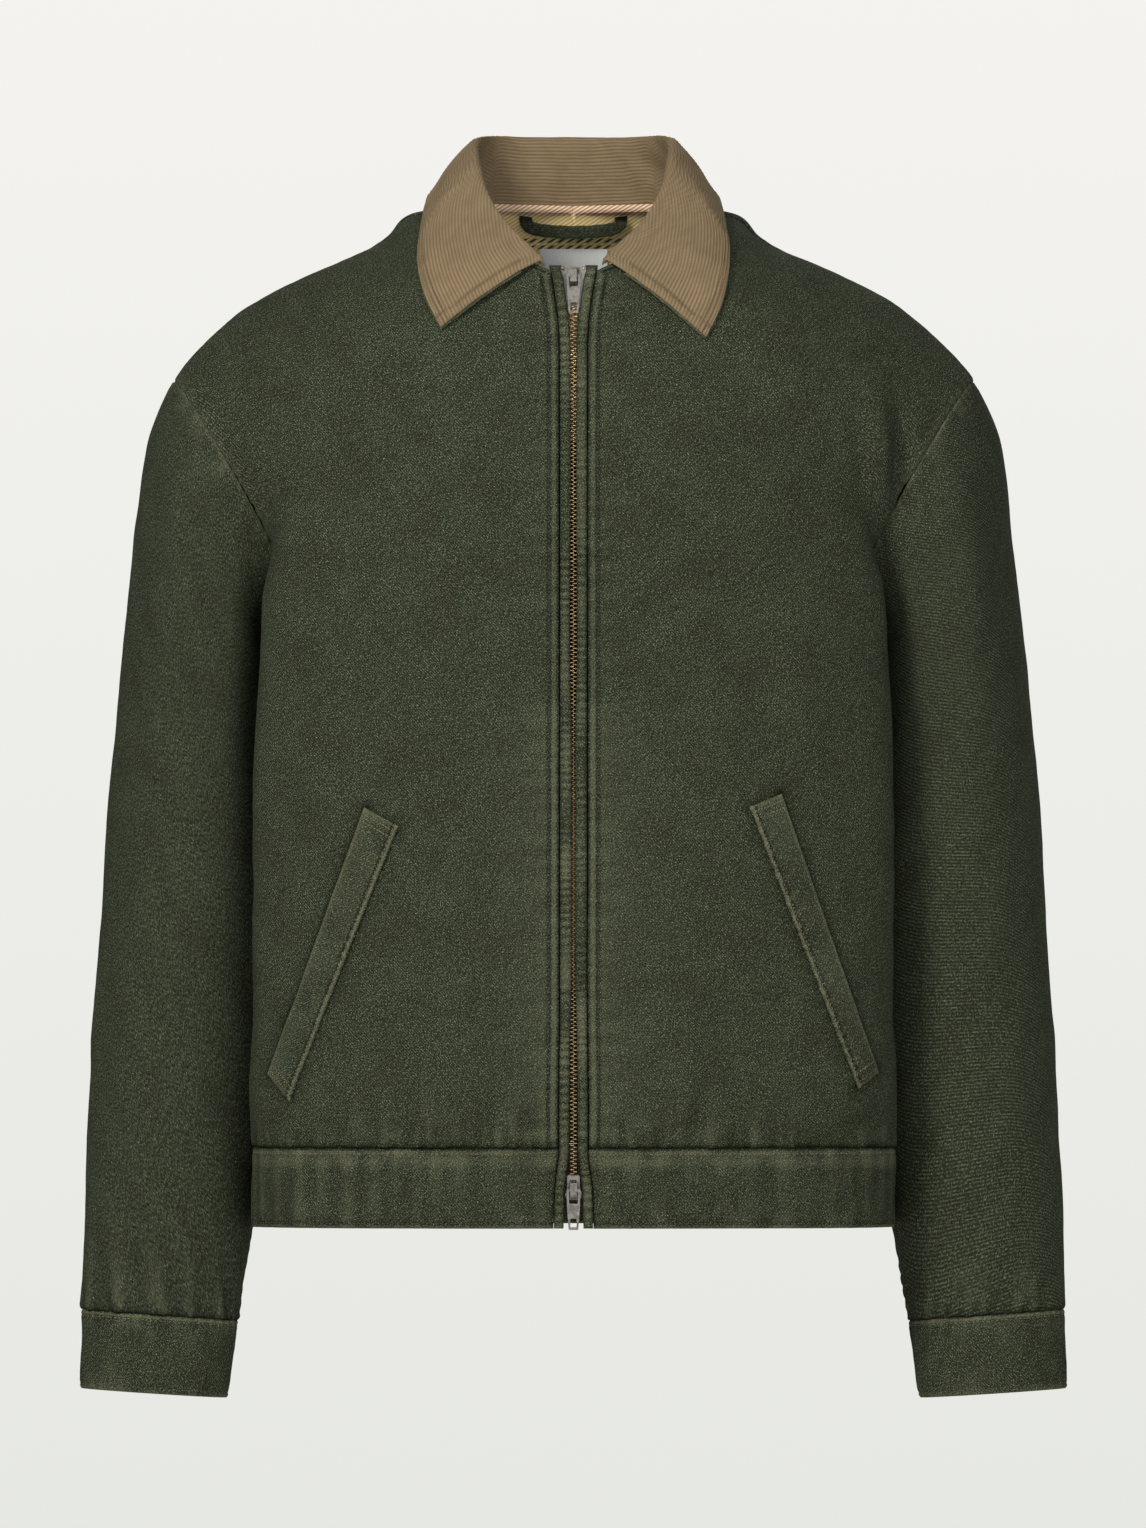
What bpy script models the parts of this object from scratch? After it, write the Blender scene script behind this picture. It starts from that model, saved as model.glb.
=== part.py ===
"""Denim zip jacket with a corduroy collar, filled out as if worn.

Millimetres in the tables, metres in the meshes. +Z is up, the zip faces -Y, and the origin lies in the
middle of the neck at the height where the collar meets the shoulders. One half of the cloth is worked out
for +X and mirrored; the zip, welts and folds then differ a little from side to side.
"""
import math
from collections import namedtuple

import bmesh
import bpy
import numpy as np
from mathutils import Matrix, Vector
from mathutils.bvhtree import BVHTree

# ---------------------------------------------------------------- driving dimensions, millimetres
MM = 0.001
DENIM = 2.0                 # wall of the body, sleeves and waistband
SEAM_GAP = 0.3              # between two pieces that are sewn together
CORD_WALL = 1.8             # corduroy of the top collar
UNDER_WALL = 1.0            # denim of the under-collar
LINING_WALL = 1.0
WELT_WALL = 1.8
TAPE_WALL = 0.8
BAND_PROUD = 1.4            # how far the zip's edge bands stand out of the fronts
BAND_DEPTH = 1.2            # and how deep they reach behind the fronts' face
TAPE_DEPTH = 2.5            # from the fronts' face to the tape
TAPE_SLANT = 0.5            # its outer edge lies this much deeper
TAPE_WIDTH = 15.0
CHAIN_HALF = 2.5            # half the width of the closed teeth
CHAIN_FRONT, CHAIN_BACK = 1.5, 3.9
CHAIN_TOP, CHAIN_LOW = -37.0, -596.0
TAPE_TOP, TAPE_LOW = -28.0, -606.0
BAND_TOP, BAND_LOW = -29.0, -622.3
STOP_HEIGHT, STOP_APART, STOP_RADIUS, STOP_FLATNESS = -30.0, 6.4, 1.15, 0.7

ROWS_PER_BODY = 20          # rows of the fronts and back above the waistband seam
BLOUSE = 3.5                # the cloth stands out this much over the waistband
UNDERARM = 10.0             # row of the underarm point
NECK = 16.0                 # row where the front edge meets the neckline
HEM = -1.6                  # row of the hem, below the waistband seam at row 0
ACROSS = 8                  # columns of a front, and of half the back
ROUND = 20                  # points round a sleeve
SLEEVE_RINGS = 20
CREASE_SOFT, CREASE_SPAN = 0.5, 0.3     # agreement of normals from which a joint counts as smooth
OUTSIDE = -400              # depth from which the front is looked at

# ---------------------------------------------------------------- body, one row of points for each section
# centre: front edge or neckline; mid, turn, flank, tuck: on the way round to the side; all (x, y, z)
Section = namedtuple("Section", "row centre mid turn flank tuck")

FRONT = [
    Section(-1.6, (8.5, -120, -622.5), (105, -112, -622.5), (173, -85, -622.5), (198.5, -40, -622.5),
            (196, -8, -622.5)),
    Section(0.0, (8.5, -122, -573), (105, -114, -573), (173, -88, -573), (198.5, -45, -573),
            (192, -12, -573)),
    Section(3.0, (8.5, -128, -480), (102, -121, -480), (170, -95, -480), (198, -55, -480),
            (183, -18, -480)),
    Section(6.0, (8.5, -130, -390), (101, -123, -390), (168, -97, -390), (197.5, -59, -390),
            (180, -21, -390)),
    Section(8.5, (8.5, -130, -318), (100, -122, -315), (167, -97, -312), (196.5, -61, -308),
            (179, -25, -304)),
    Section(10.0, (8.5, -128, -270), (99, -120, -266), (166, -94, -260), (193, -60, -250),
            (177, -30, -245)),
    Section(12.0, (8.5, -124, -200), (96, -116, -202), (162, -91, -208), (188, -62, -214),
            (181, -41, -220)),
    Section(14.0, (8.5, -112, -118), (92, -108, -133), (150, -90, -153), (179, -70, -172),
            (188, -57, -181)),
    Section(16.0, (8.5, -88, -33), (70, -87, -63), (134, -85, -98), (182, -69, -126),
            (202, -57, -137)),
    Section(18.0, (52, -56, -12), (98, -66, -36), (146, -58, -61), (194, -45, -87),
            (219, -33, -100)),
    Section(20.0, (76, 8, 6), (115, 9, -9.5), (162, 11, -32), (208, 15, -57), (231, 17, -77)),
]
BACK = [
    Section(-1.6, (0, 122, -622.5), (95, 114, -622.5), (164, 89, -622.5), (187, 60, -622.5),
            (190, 42, -622.5)),
    Section(0.0, (0, 124, -573), (95, 116, -573), (161, 91, -573), (182, 62, -573), (185, 43, -573)),
    Section(3.0, (0, 131, -480), (90, 124, -480), (149, 101, -480), (169, 69, -480), (172, 46, -480)),
    Section(6.0, (0, 134, -390), (88, 127, -390), (146, 104, -390), (167, 72, -390), (171, 47, -390)),
    Section(8.5, (0, 135, -315), (87, 128, -312), (145, 105, -308), (166, 72, -304), (171, 47, -302)),
    Section(10.0, (0, 135, -262), (87, 129, -260), (146, 107, -256), (168, 74, -249), (172, 48, -244)),
    Section(12.0, (0, 132, -180), (86, 127, -186), (147, 111, -199), (172, 90, -211), (178, 73, -219)),
    Section(14.0, (0, 118, -90), (84, 115, -107), (146, 107, -136), (178, 96, -161), (187, 89, -176)),
    Section(16.0, (0, 72, 8), (66, 85, -28), (133, 90, -78), (182, 90, -112), (203, 85, -130)),
    Section(18.0, (52, 52, 9), (98, 55, -19), (147, 66, -57), (196, 63, -85), (220, 59, -99)),
    Section(20.0, (76, 8, 6), (115, 9, -9.5), (162, 11, -32), (208, 15, -57), (231, 17, -77)),
]
SIDE_SEAM = [               # row, (x, y, z) from the hem up to the underarm
    (-1.6, (190, 22, -622.5)), (0.0, (185, 22, -573)), (3.0, (174, 20, -480)),
    (6.0, (171, 20, -390)), (8.5, (171, 20, -300)), (10.0, (173, 19, -240)),
]
COLUMN_KNOTS = (0.0, 0.32, 0.57, 0.75, 0.875, 1.0)

# ---------------------------------------------------------------- sleeve, a ring for each section
# outer: crown line; inner: underarm line, both (x, z); middle: y of both; depths to the front and back
Ring = namedtuple("Ring", "along outer inner middle front back")

SLEEVE = [
    Ring(0, (248.6, -98.6), (173, -240), 19, 69, 62),
    Ring(36, (263, -132), (186.5, -255), 22, 71, 66),
    Ring(80, (270.5, -175), (187, -290), 26, 73, 69),
    Ring(127, (275.5, -222), (186, -325), 29, 74, 71),
    Ring(175, (280.5, -270), (184.5, -363), 31, 73, 72),
    Ring(231, (286, -325), (183, -403), 32, 72, 70),
    Ring(301, (291, -395), (183, -452), 32, 69, 66),
    Ring(381, (296.5, -475), (186, -510), 29, 62, 60),
    Ring(461, (301.3, -555), (193, -575), 23, 54, 52),
    Ring(526, (304, -620), (200, -632), 17, 45, 44),
    Ring(580, (305.2, -674), (208, -681), 12, 36, 36),
    Ring(629, (306.4, -723), (214.2, -729), 8, 32, 32),
]
CUFF_SEAM, CUFF_END = 580.0, 629.0
ARMHOLE_BOW = 9.0           # the front armhole curves towards the chest by this much

# soft standing folds of the sleeves: angle and half width in degrees, stretch in mm, height in mm
Fold = namedtuple("Fold", "side angle half_width start end height")
FOLDS = [
    Fold(-1, 60, 17, 4, 250, 4.0), Fold(-1, 92, 15, 4, 210, -3.0), Fold(-1, 118, 14, 30, 300, 2.5),
    Fold(-1, 300, 20, 150, 420, -3.0), Fold(-1, 30, 16, 260, 470, -2.0),
    Fold(1, 64, 16, 4, 190, 3.5), Fold(1, 44, 14, 6, 160, -3.0), Fold(1, 100, 16, 40, 260, -2.5),
    Fold(1, 70, 22, 260, 500, 2.5), Fold(1, 290, 20, 100, 380, -3.0),
]

# ---------------------------------------------------------------- front edge, by height
# gap: from the middle to an edge band; ditch: from the middle to the front's own edge
FrontEdge = namedtuple("FrontEdge", "height gap ditch")
FRONT_EDGE = [
    FrontEdge(-624, 6.2, 12.4), FrontEdge(-606, 5.8, 11.9), FrontEdge(-598, 5.6, 11.7),
    FrontEdge(-590, 4.6, 10.8), FrontEdge(-576, 2.8, 9.0), FrontEdge(-500, 2.0, 8.5),
    FrontEdge(-470, 1.0, 8.5), FrontEdge(-320, 1.0, 8.5), FrontEdge(-270, 2.2, 8.5),
    FrontEdge(-160, 1.7, 8.5), FrontEdge(-75, 1.9, 8.6), FrontEdge(-60, 3.2, 9.6),
    FrontEdge(-46, 4.9, 11.6), FrontEdge(-37, 6.0, 13.0), FrontEdge(-31, 7.8, 14.2),
    FrontEdge(-27, 9.0, 15.0),
]

# ---------------------------------------------------------------- slanted welts: (x, z) corners
Welt = namedtuple("Welt", "name side top_outer top_inner low_outer low_inner")
WELT_ROWS, WELT_ACROSS = 15, 4
WELT_CLEAR = 0.35           # from the front to the back of a welt
WELTS = [
    Welt("welt_left", -1, (128.7, -362.7), (107.6, -374.5), (188.0, -527.6), (175.0, -544.4)),
    Welt("welt_right", 1, (128.0, -354.5), (108.0, -362.5), (187.6, -526.4), (175.0, -536.5)),
]

# ---------------------------------------------------------------- collar, stations from back to front end
# roll: top of the fold; edge: outer edge of the fall, both (x, y, z); 0.5 is at the shoulder seam
Station = namedtuple("Station", "along roll edge")
COLLAR = [
    Station(0.00, (0, 76, 55), (0, 108, -8)),
    Station(0.17, (36, 71, 55), (45, 104, -10)),
    Station(0.33, (53, 45, 54.5), (76, 76, -9)),
    Station(0.50, (57.5, 12, 49), (90, 13, 0)),
    Station(0.62, (56.5, -18, 37), (94.5, -18, -12)),
    Station(0.75, (49.5, -46, 14), (94.5, -48, -31)),
    Station(0.88, (34, -70, -7), (90, -76, -50)),
    Station(1.00, (17.5, -86, -23), (81.5, -92, -67.5)),
]
RIGHT_TIP_DROP = 6.0        # the right fall's point hangs this much lower
SEAM_RISE = 1.4             # the stand begins this far over the neckline
FOLD_RADIUS = 3.7
FALL_CROWN = 2.5            # the fall arches this much between its fold and its edge
COLLAR_ALONG = 30           # segments along the whole collar
STAND_STEPS, FOLD_STEPS, FALL_STEPS = 3, 4, 6
COLLAR_CLEAR = 0.8
COLLAR_START = 0.95         # the stand's front end stops this far along the neckline

# ---------------------------------------------------------------- inside the neck
LINING_ROW, LINING_COLUMNS = 13, 3
LABEL_HALF, LABEL_TOP, LABEL_LOW, LABEL_WALL = 21.0, -15.5, -52.0, 0.8
LABEL_CLEAR = 0.5           # from the lining to the label
LOOP_HALF, LOOP_WALL, LOOP_TOP = 4.0, 1.6, 4.5
# hanger loop from tack to tack: across, height, distance from the lining
LOOP = [(-29.5, LOOP_TOP, 1.0), (-29.5, 1.6, 1.1), (-27, -2, 4.4), (-18, -4.2, 6.3), (0, -5.2, 7.0),
        (18, -4.2, 6.3), (27, -2, 4.4), (29.5, 1.6, 1.1), (29.5, LOOP_TOP, 1.0)]

# ---------------------------------------------------------------- sliders and pull tabs
SLIDER_LENGTH = 15.0
PLATE = 1.2
PLATE_HALF, FLARE_HALF = 3.9, 5.2
SLIDER_FRONT = -0.1         # outer face of the front plate, from the fronts' face
BACK_PLATE = (4.3, 5.3)
BRIDGE_HALF, BRIDGE_LENGTH, BRIDGE_RISE, BRIDGE_WALL = 2.0, 12.4, 3.3, 1.1
HINGE_DEPTH = -2.2
TAB_THICK = 0.9
TAB_LENGTH = 24.6
TOP_SLIDER, LOW_SLIDER = -36.5, -597.0
BRIDGE_SHIFT = 1.5          # towards the flared end


# ================================================================ small mathematics
def spline(knots, values, at):
    """Natural cubic spline through values (n, 3) at the knots, read at each number in at."""
    x = np.asarray(knots, float)
    y = np.asarray(values, float)
    gaps = np.diff(x)
    slopes = np.diff(y, axis=0) / gaps[:, None]
    system = np.eye(len(x))
    right = np.zeros_like(y)
    for i in range(1, len(x) - 1):
        system[i, i - 1:i + 2] = gaps[i - 1], 2 * (gaps[i - 1] + gaps[i]), gaps[i]
        right[i] = 6 * (slopes[i] - slopes[i - 1])
    bend = np.linalg.solve(system, right)
    at = np.atleast_1d(np.asarray(at, float))
    cell = np.clip(np.searchsorted(x, at) - 1, 0, len(gaps) - 1)
    width = gaps[cell][:, None]
    b = (at - x[cell])[:, None] / width
    a = 1 - b
    curve = ((a ** 3 - a) * bend[cell] + (b ** 3 - b) * bend[cell + 1]) * width ** 2 / 6
    return a * y[cell] + b * y[cell + 1] + curve


def smooth_step(value):
    t = min(max(value, 0.0), 1.0)
    return t * t * (3 - 2 * t)


def unit(vectors):
    vectors = np.asarray(vectors, float)
    length = np.linalg.norm(vectors, axis=-1, keepdims=True)
    return vectors / np.maximum(length, 1e-9)


def mirrored(points):
    return np.asarray(points, float) * (-1, 1, 1)


def edge_value(height, column):
    """Half width of the zip's opening at a height, from the table of the front edge."""
    heights = [row.height for row in FRONT_EDGE]
    return float(np.interp(height, heights, [getattr(row, column) for row in FRONT_EDGE]))


# ================================================================ form of the cloth
def ring_point(along, angle):
    """Point on the sleeve: along its length in mm, angle in degrees from the crown towards the front."""
    knots = [ring.along for ring in SLEEVE]
    columns = [(*ring.outer, *ring.inner, ring.middle, ring.front, ring.back) for ring in SLEEVE]
    ox, oz, ix, iz, middle, front, back = spline(knots, columns, along)[0]
    turn = math.radians(angle)
    share = (1 - math.cos(turn)) / 2
    line = np.array((ix - ox, iz - oz))
    inward = np.array((line[1], -line[0])) / np.linalg.norm(line)
    fade = max(0.0, 1 - along / 120)
    bow = ARMHOLE_BOW * fade * max(0.0, math.sin(turn)) * (0.55 + 0.45 * share)
    depth = front if math.sin(turn) > 0 else back
    return np.array((ox + line[0] * share + inward[0] * bow,
                     middle - depth * math.sin(turn),
                     oz + line[1] * share + inward[1] * bow))


def armhole(row, facing):
    """Point on the armhole for a row of the front (facing 1) or of the back (facing -1)."""
    angle = 180 * (1 - (row - UNDERARM) / (ROWS_PER_BODY - UNDERARM))
    return ring_point(0.0, facing * angle)


def column(table, other, name, row):
    """One column of a body table at any row. Past the shoulder seam it goes on into the other table."""
    rows = table
    if name == "centre":
        rows = [section for section in table if (section.row <= NECK if row <= NECK else section.row >= NECK)]
    knots = [section.row for section in rows]
    points = [getattr(section, name) for section in rows]
    if name != "centre" or row > NECK:
        knots += [2 * ROWS_PER_BODY - section.row for section in other[-2:-4:-1]]
        points += [getattr(section, name) for section in other[-2:-4:-1]]
    return spline(knots, points, row)[0]


def side_point(row, facing):
    if row >= UNDERARM:
        return armhole(row, facing)
    return spline([knot for knot, _ in SIDE_SEAM], [point for _, point in SIDE_SEAM], row)[0]


def body_row(row, facing, shares):
    """Points across a front (facing 1) or half the back (facing -1) at a row, at shares from 0 to 1."""
    table, other = (FRONT, BACK) if facing > 0 else (BACK, FRONT)
    centre, mid, turn, flank, tuck = (column(table, other, name, row) for name in Section._fields[1:])
    if facing > 0 and row <= NECK:
        centre[0] = edge_value(centre[2], "ditch")
    side = side_point(row, facing)
    past_seam = column(other, table, "tuck", row)
    if row > UNDERARM:
        angle = facing * 180 * (1 - (row - UNDERARM) / (ROWS_PER_BODY - UNDERARM))
        past_seam = past_seam + (ring_point(36, angle) - past_seam) * smooth_step((row - UNDERARM) / 6)
    knots = (-COLUMN_KNOTS[1], *COLUMN_KNOTS, 2 - COLUMN_KNOTS[4])
    points = spline(knots, (mirrored(mid), centre, mid, turn, flank, tuck, side, past_seam), shares)
    fullness = BLOUSE * math.sin(math.pi * min(max(row / 2.5, 0.0), 1.0))
    outward = unit(points * (1, 1, 0)) * fullness
    return points + outward * (1 - np.asarray(shares)[:, None] ** 3)


def body_grid(facing, rows, across):
    return np.array([body_row(row, facing, np.linspace(0, 1, across + 1)) for row in rows])


def fold_height(side, along, angle):
    height = 0.0
    for fold in FOLDS:
        if fold.side != side or not fold.start < along < fold.end:
            continue
        off = (angle - fold.angle) / fold.half_width
        height += fold.height * math.exp(-off * off) * math.sin(
            math.pi * (along - fold.start) / (fold.end - fold.start)) ** 0.7
    return height


def sleeve_grid(side, lengths, around):
    """Rings down a sleeve of the +X half, with the folds that belong to the named side."""
    angles = [360 * i / around for i in range(around)]
    plain = np.array([[ring_point(length, angle) for angle in angles] for length in lengths])
    middle = plain.mean(axis=1, keepdims=True)
    lift = np.array([[fold_height(side, length, angle) for angle in angles] for length in lengths])
    return plain + unit(plain - middle) * lift[..., None]


# ================================================================ walls from grids of points
# a grid of points with its normals; whole: this many rows go on across the middle of the back
Patch = namedtuple("Patch", "points normals closed flip whole")


def grid_quads(rows, across, closed=False, flip=False):
    quads = []
    last = across if closed else across - 1
    for i in range(rows - 1):
        for j in range(last):
            k = (j + 1) % across
            quad = [i * across + j, i * across + k, (i + 1) * across + k, (i + 1) * across + j]
            quads.append(quad[::-1] if flip else quad)
    return quads


def grid_faces(rows, across, closed=False, flip=False):
    """Triangles of a grid, with the same diagonal in every layer that is made from it."""
    faces = []
    for quad in grid_quads(rows, across, closed):
        for face in ([quad[0], quad[1], quad[2]], [quad[0], quad[2], quad[3]]):
            faces.append(face[::-1] if flip else face)
    return faces


def shared_normals(grids):
    """Vertex normals of several grids that meet at equal points, so that sewn edges agree."""
    total = {}
    for points, closed, flip in grids:
        flat = points.reshape(-1, 3)
        for face in grid_quads(*points.shape[:2], closed, flip):
            a, b, c, d = (flat[i] for i in face)
            normal = np.cross(c - a, d - b)
            for corner in face:
                key = tuple(np.round(flat[corner], 2) + 0.0)
                total[key] = total.get(key, 0) + normal
    result = []
    for points, _, _ in grids:
        flat = points.reshape(-1, 3)
        sums = np.array([total[tuple(np.round(point, 2) + 0.0)] for point in flat])
        result.append(unit(sums).reshape(points.shape))
    return result


def creased(own, joint):
    """A piece's own normals where it meets its neighbour at a sharp crease, the joint ones elsewhere."""
    share = np.clip(((own * joint).sum(-1, keepdims=True) - CREASE_SOFT) / CREASE_SPAN, 0, 1)
    return unit(own * (1 - share) + joint * share)


def trimmed(patch):
    """Draw a patch's open edges in by half the seam gap, along the cloth."""
    points, normals = patch.points, patch.normals
    moved = points.copy()

    def draw_in(edge, inner, normal):
        along = inner - edge
        along = along - (along * normal).sum(-1, keepdims=True) * normal
        return unit(along) * SEAM_GAP / 2

    moved[0] += draw_in(points[0], points[1], normals[0])
    moved[-1] += draw_in(points[-1], points[-2], normals[-1])
    if not patch.closed:
        free = slice(patch.whole, None)
        moved[free, 0] += draw_in(points[free, 0], points[free, 1], normals[free, 0])
        moved[:, -1] += draw_in(points[:, -1], points[:, -2], normals[:, -1])
    return moved


def wall_mesh(outer, inner, faces):
    """Closed wall between two layers of vertices that share the same faces."""
    count = len(outer)
    edges = {(a, b) for face in faces for a, b in zip(face, face[1:] + face[:1])}
    rim = [[b, a, a + count, b + count] for a, b in sorted(edges) if (b, a) not in edges]
    below = [[i + count for i in face[::-1]] for face in faces]
    return np.concatenate((outer, inner)), faces + below + rim


def grid_wall(outer, inner, flip=False):
    faces = grid_faces(*outer.shape[:2], False, flip)
    return wall_mesh(outer.reshape(-1, 3), inner.reshape(-1, 3), faces)


def add_object(name, vertices, faces, material, collection, smooth=True):
    mesh = bpy.data.meshes.new(name)
    mesh.from_pydata([tuple(v * MM for v in vertex) for vertex in vertices], [], faces)
    mesh.materials.append(material)
    if smooth:
        mesh.shade_smooth()
        mesh.set_sharp_from_angle(angle=math.radians(40))
    piece = bpy.data.objects.new(name, mesh)
    collection.objects.link(piece)
    return piece


def cloth_piece(name, patches, wall, material, collection, depth=0.0):
    """A wall of cloth whose outer face lies depth below its patches, welded where they meet."""
    outer, inner, faces = [], [], []
    known = {}
    for patch in patches:
        places = []
        for point, normal in zip(trimmed(patch).reshape(-1, 3), patch.normals.reshape(-1, 3)):
            key = tuple(np.round(point, 3) + 0.0)
            if key not in known:
                known[key] = len(outer)
                outer.append(point - normal * depth)
                inner.append(point - normal * (depth + wall))
            places.append(known[key])
        faces += [[places[i] for i in face]
                  for face in grid_faces(*patch.points.shape[:2], patch.closed, patch.flip)]
    return add_object(name, *wall_mesh(outer, inner, faces), material, collection)


def add_tube(name, rings, material, collection):
    """Solid skinned over rings of points, with flat ends."""
    count, around = rings.shape[:2]
    faces = grid_faces(count, around, True)
    faces += [list(range(around))[::-1], [(count - 1) * around + i for i in range(around)]]
    piece = add_object(name, rings.reshape(-1, 3), faces, material, collection)
    shape = bmesh.new()
    shape.from_mesh(piece.data)
    bmesh.ops.recalc_face_normals(shape, faces=shape.faces)
    shape.to_mesh(piece.data)
    shape.free()
    return piece


# ================================================================ looking up the made cloth
def surface_tree(grids):
    """Search tree of the outer faces of several grids given as (points, closed, flip)."""
    vertices, faces = [], []
    for points, closed, flip in grids:
        start = len(vertices)
        vertices += [Vector(point) for point in points.reshape(-1, 3)]
        faces += [[i + start for i in face] for face in grid_faces(*points.shape[:2], closed, flip)]
    return BVHTree.FromPolygons(vertices, faces)


def height_over(tree, point):
    """Signed distance of a point outside the cloth, and the cloth's normal there."""
    place, normal, _, _ = tree.find_nearest(Vector(point))
    away = Vector(point) - place
    return (away.length if away.dot(normal) >= 0 else -away.length), np.array(normal)


def lifted(points, tree, clearance, rounds=8, steps=4):
    """Move a grid out of the cloth until samples all over its cells clear it."""
    points = points.copy()
    rows, across = points.shape[:2]
    samples = []
    for i, j, down, over in np.ndindex(rows, across, steps, steps):
        corners = {}
        for a, b in np.ndindex(2, 2):
            share = abs(1 - a - down / steps) * abs(1 - b - over / steps)
            if share > 0:
                corners[i + a, j + b] = share
        if all(row < rows and place < across for row, place in corners):
            samples.append(corners)
    for _ in range(rounds):
        push = np.zeros_like(points)
        size = np.zeros((rows, across))
        for corners in samples:
            middle = sum(points[corner] * share for corner, share in corners.items())
            height, normal = height_over(tree, middle)
            need = clearance - height
            for corner in corners:
                if need > size[corner]:
                    size[corner] = need
                    push[corner] = normal * need
        if size.max() < 0.02:
            break
        points += push
    return points


def front_hit(tree, x, z):
    """Point and normal of the cloth's front at a place in the front view."""
    place, normal, _, _ = tree.ray_cast(Vector((x, OUTSIDE, z)), Vector((0, 1, 0)))
    return np.array(place), np.array(normal)


# ================================================================ solids from outlines
def prism(outline, low, high):
    """Outline of (x, z) points drawn from depth low to depth high along y."""
    count = len(outline)
    vertices = [(x, low, z) for x, z in outline] + [(x, high, z) for x, z in outline]
    faces = [list(range(count)), list(range(2 * count - 1, count - 1, -1))]
    faces += [[(i + 1) % count, i, i + count, (i + 1) % count + count] for i in range(count)]
    return vertices, faces


def union(name, solids, material, collection, place):
    """Join overlapping solids into one, given in local millimetres and set by the matrix place."""
    helpers = []
    for index, (vertices, faces) in enumerate(solids):
        helper = add_object(f"{name}_{index}", vertices, faces, material, collection, smooth=False)
        corrected = bmesh.new()
        corrected.from_mesh(helper.data)
        bmesh.ops.recalc_face_normals(corrected, faces=corrected.faces)
        corrected.to_mesh(helper.data)
        corrected.free()
        helpers.append(helper)
    body = helpers[0]
    for helper in helpers[1:]:
        join = body.modifiers.new("join", "BOOLEAN")
        join.operation = "UNION"
        join.object = helper
    graph = bpy.context.evaluated_depsgraph_get()
    mesh = bpy.data.meshes.new_from_object(body.evaluated_get(graph))
    for helper in helpers:
        bpy.data.objects.remove(helper)
    joined = bpy.data.objects.new(name, mesh)
    mesh.name = name
    joined.matrix_world = place
    collection.objects.link(joined)
    return joined


def rounded_outline(points, radius, steps=2):
    """Outline with each corner turned into a short arc."""
    result = []
    count = len(points)
    for i, corner in enumerate(points):
        corner = np.array(corner, float)
        before = unit(np.array(points[i - 1], float) - corner) * radius
        after = unit(np.array(points[(i + 1) % count], float) - corner) * radius
        for step in range(steps + 1):
            t = step / steps
            result.append(tuple(corner + before * (1 - t) ** 2 + after * t ** 2))
    return result


# ================================================================ materials
def finish(name, colour, roughness, metallic=0.0):
    material = bpy.data.materials.new(name)
    material.use_nodes = True
    shader = material.node_tree.nodes["Principled BSDF"]
    shader.inputs["Base Color"].default_value = (*colour, 1)
    shader.inputs["Roughness"].default_value = roughness
    shader.inputs["Metallic"].default_value = metallic
    material.diffuse_color = (*colour, 1)
    return material


# ================================================================ pieces
class Cloth:
    """Grids and normals of the whole outer cloth, shared by the pieces that are cut from it."""

    def __init__(self):
        self.rows = [HEM, HEM / 2] + list(range(ROWS_PER_BODY + 1))
        self.lengths = list(np.linspace(0, CUFF_SEAM, SLEEVE_RINGS + 1))
        self.lengths += [(CUFF_SEAM + CUFF_END) / 2, CUFF_END]
        front = body_grid(1, self.rows, ACROSS)
        back = body_grid(-1, self.rows, ACROSS)
        self.grids = {}
        self.normals = {}
        for side in (-1, 1):
            sleeve = sleeve_grid(side, self.lengths, ROUND)
            parts = [(front, False, False), (back, False, True), (sleeve, True, False)]
            normals = [creased(own, joint) for own, joint in zip(
                shared_normals(parts[:2]) + shared_normals(parts[2:]), shared_normals(parts))]
            neck = self.rows.index(NECK)
            normals[1][:neck + 1, 0, 0] = 0
            normals[1] = unit(normals[1])
            for key, (points, _, _), normal in zip(("front", "back", "sleeve"), parts, normals):
                if side < 0:
                    points, normal = mirrored(points), mirrored(normal)
                self.grids[key, side] = points
                self.normals[key, side] = normal

    def outer_parts(self):
        """Every outer face as (points, closed, flip)."""
        return [(points, key == "sleeve", (key == "back") != (side < 0))
                for (key, side), points in self.grids.items()]

    def patch(self, key, side, rows=slice(None), columns=slice(None)):
        whole = 0
        if key == "back":
            whole = sum(row <= NECK for row in self.rows[rows])
        return Patch(self.grids[key, side][rows, columns], self.normals[key, side][rows, columns],
                     key == "sleeve", (key == "back") != (side < 0), whole)


def make_body(cloth, denim, collection):
    """Fronts, back, sleeves, cuffs and waistband, all cut from the outer cloth."""
    panel, band = slice(2, None), slice(0, 3)
    arm, cuff = slice(0, SLEEVE_RINGS + 1), slice(SLEEVE_RINGS, None)
    for side, word in ((-1, "left"), (1, "right")):
        for name, key, rows in (("front", "front", panel), ("waistband", "front", band),
                                ("sleeve", "sleeve", arm), ("cuff", "sleeve", cuff)):
            cloth_piece(f"{name}_{word}", [cloth.patch(key, side, rows)], DENIM, denim, collection)
    for name, rows in (("back", panel), ("waistband_back", band)):
        halves = [cloth.patch("back", side, rows) for side in (-1, 1)]
        cloth_piece(name, halves, DENIM, denim, collection)


def neckline(along):
    """Point on the neckline of the +X half: 0 at the middle of the back, 1 at the zip."""
    if along <= 0.5:
        return column(BACK, FRONT, "centre", NECK + along * 2 * (ROWS_PER_BODY - NECK))
    point = column(FRONT, BACK, "centre", NECK + (1 - along) * 2 * (ROWS_PER_BODY - NECK))
    point[0] = max(point[0], edge_value(point[2], "ditch"))
    return point


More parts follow.
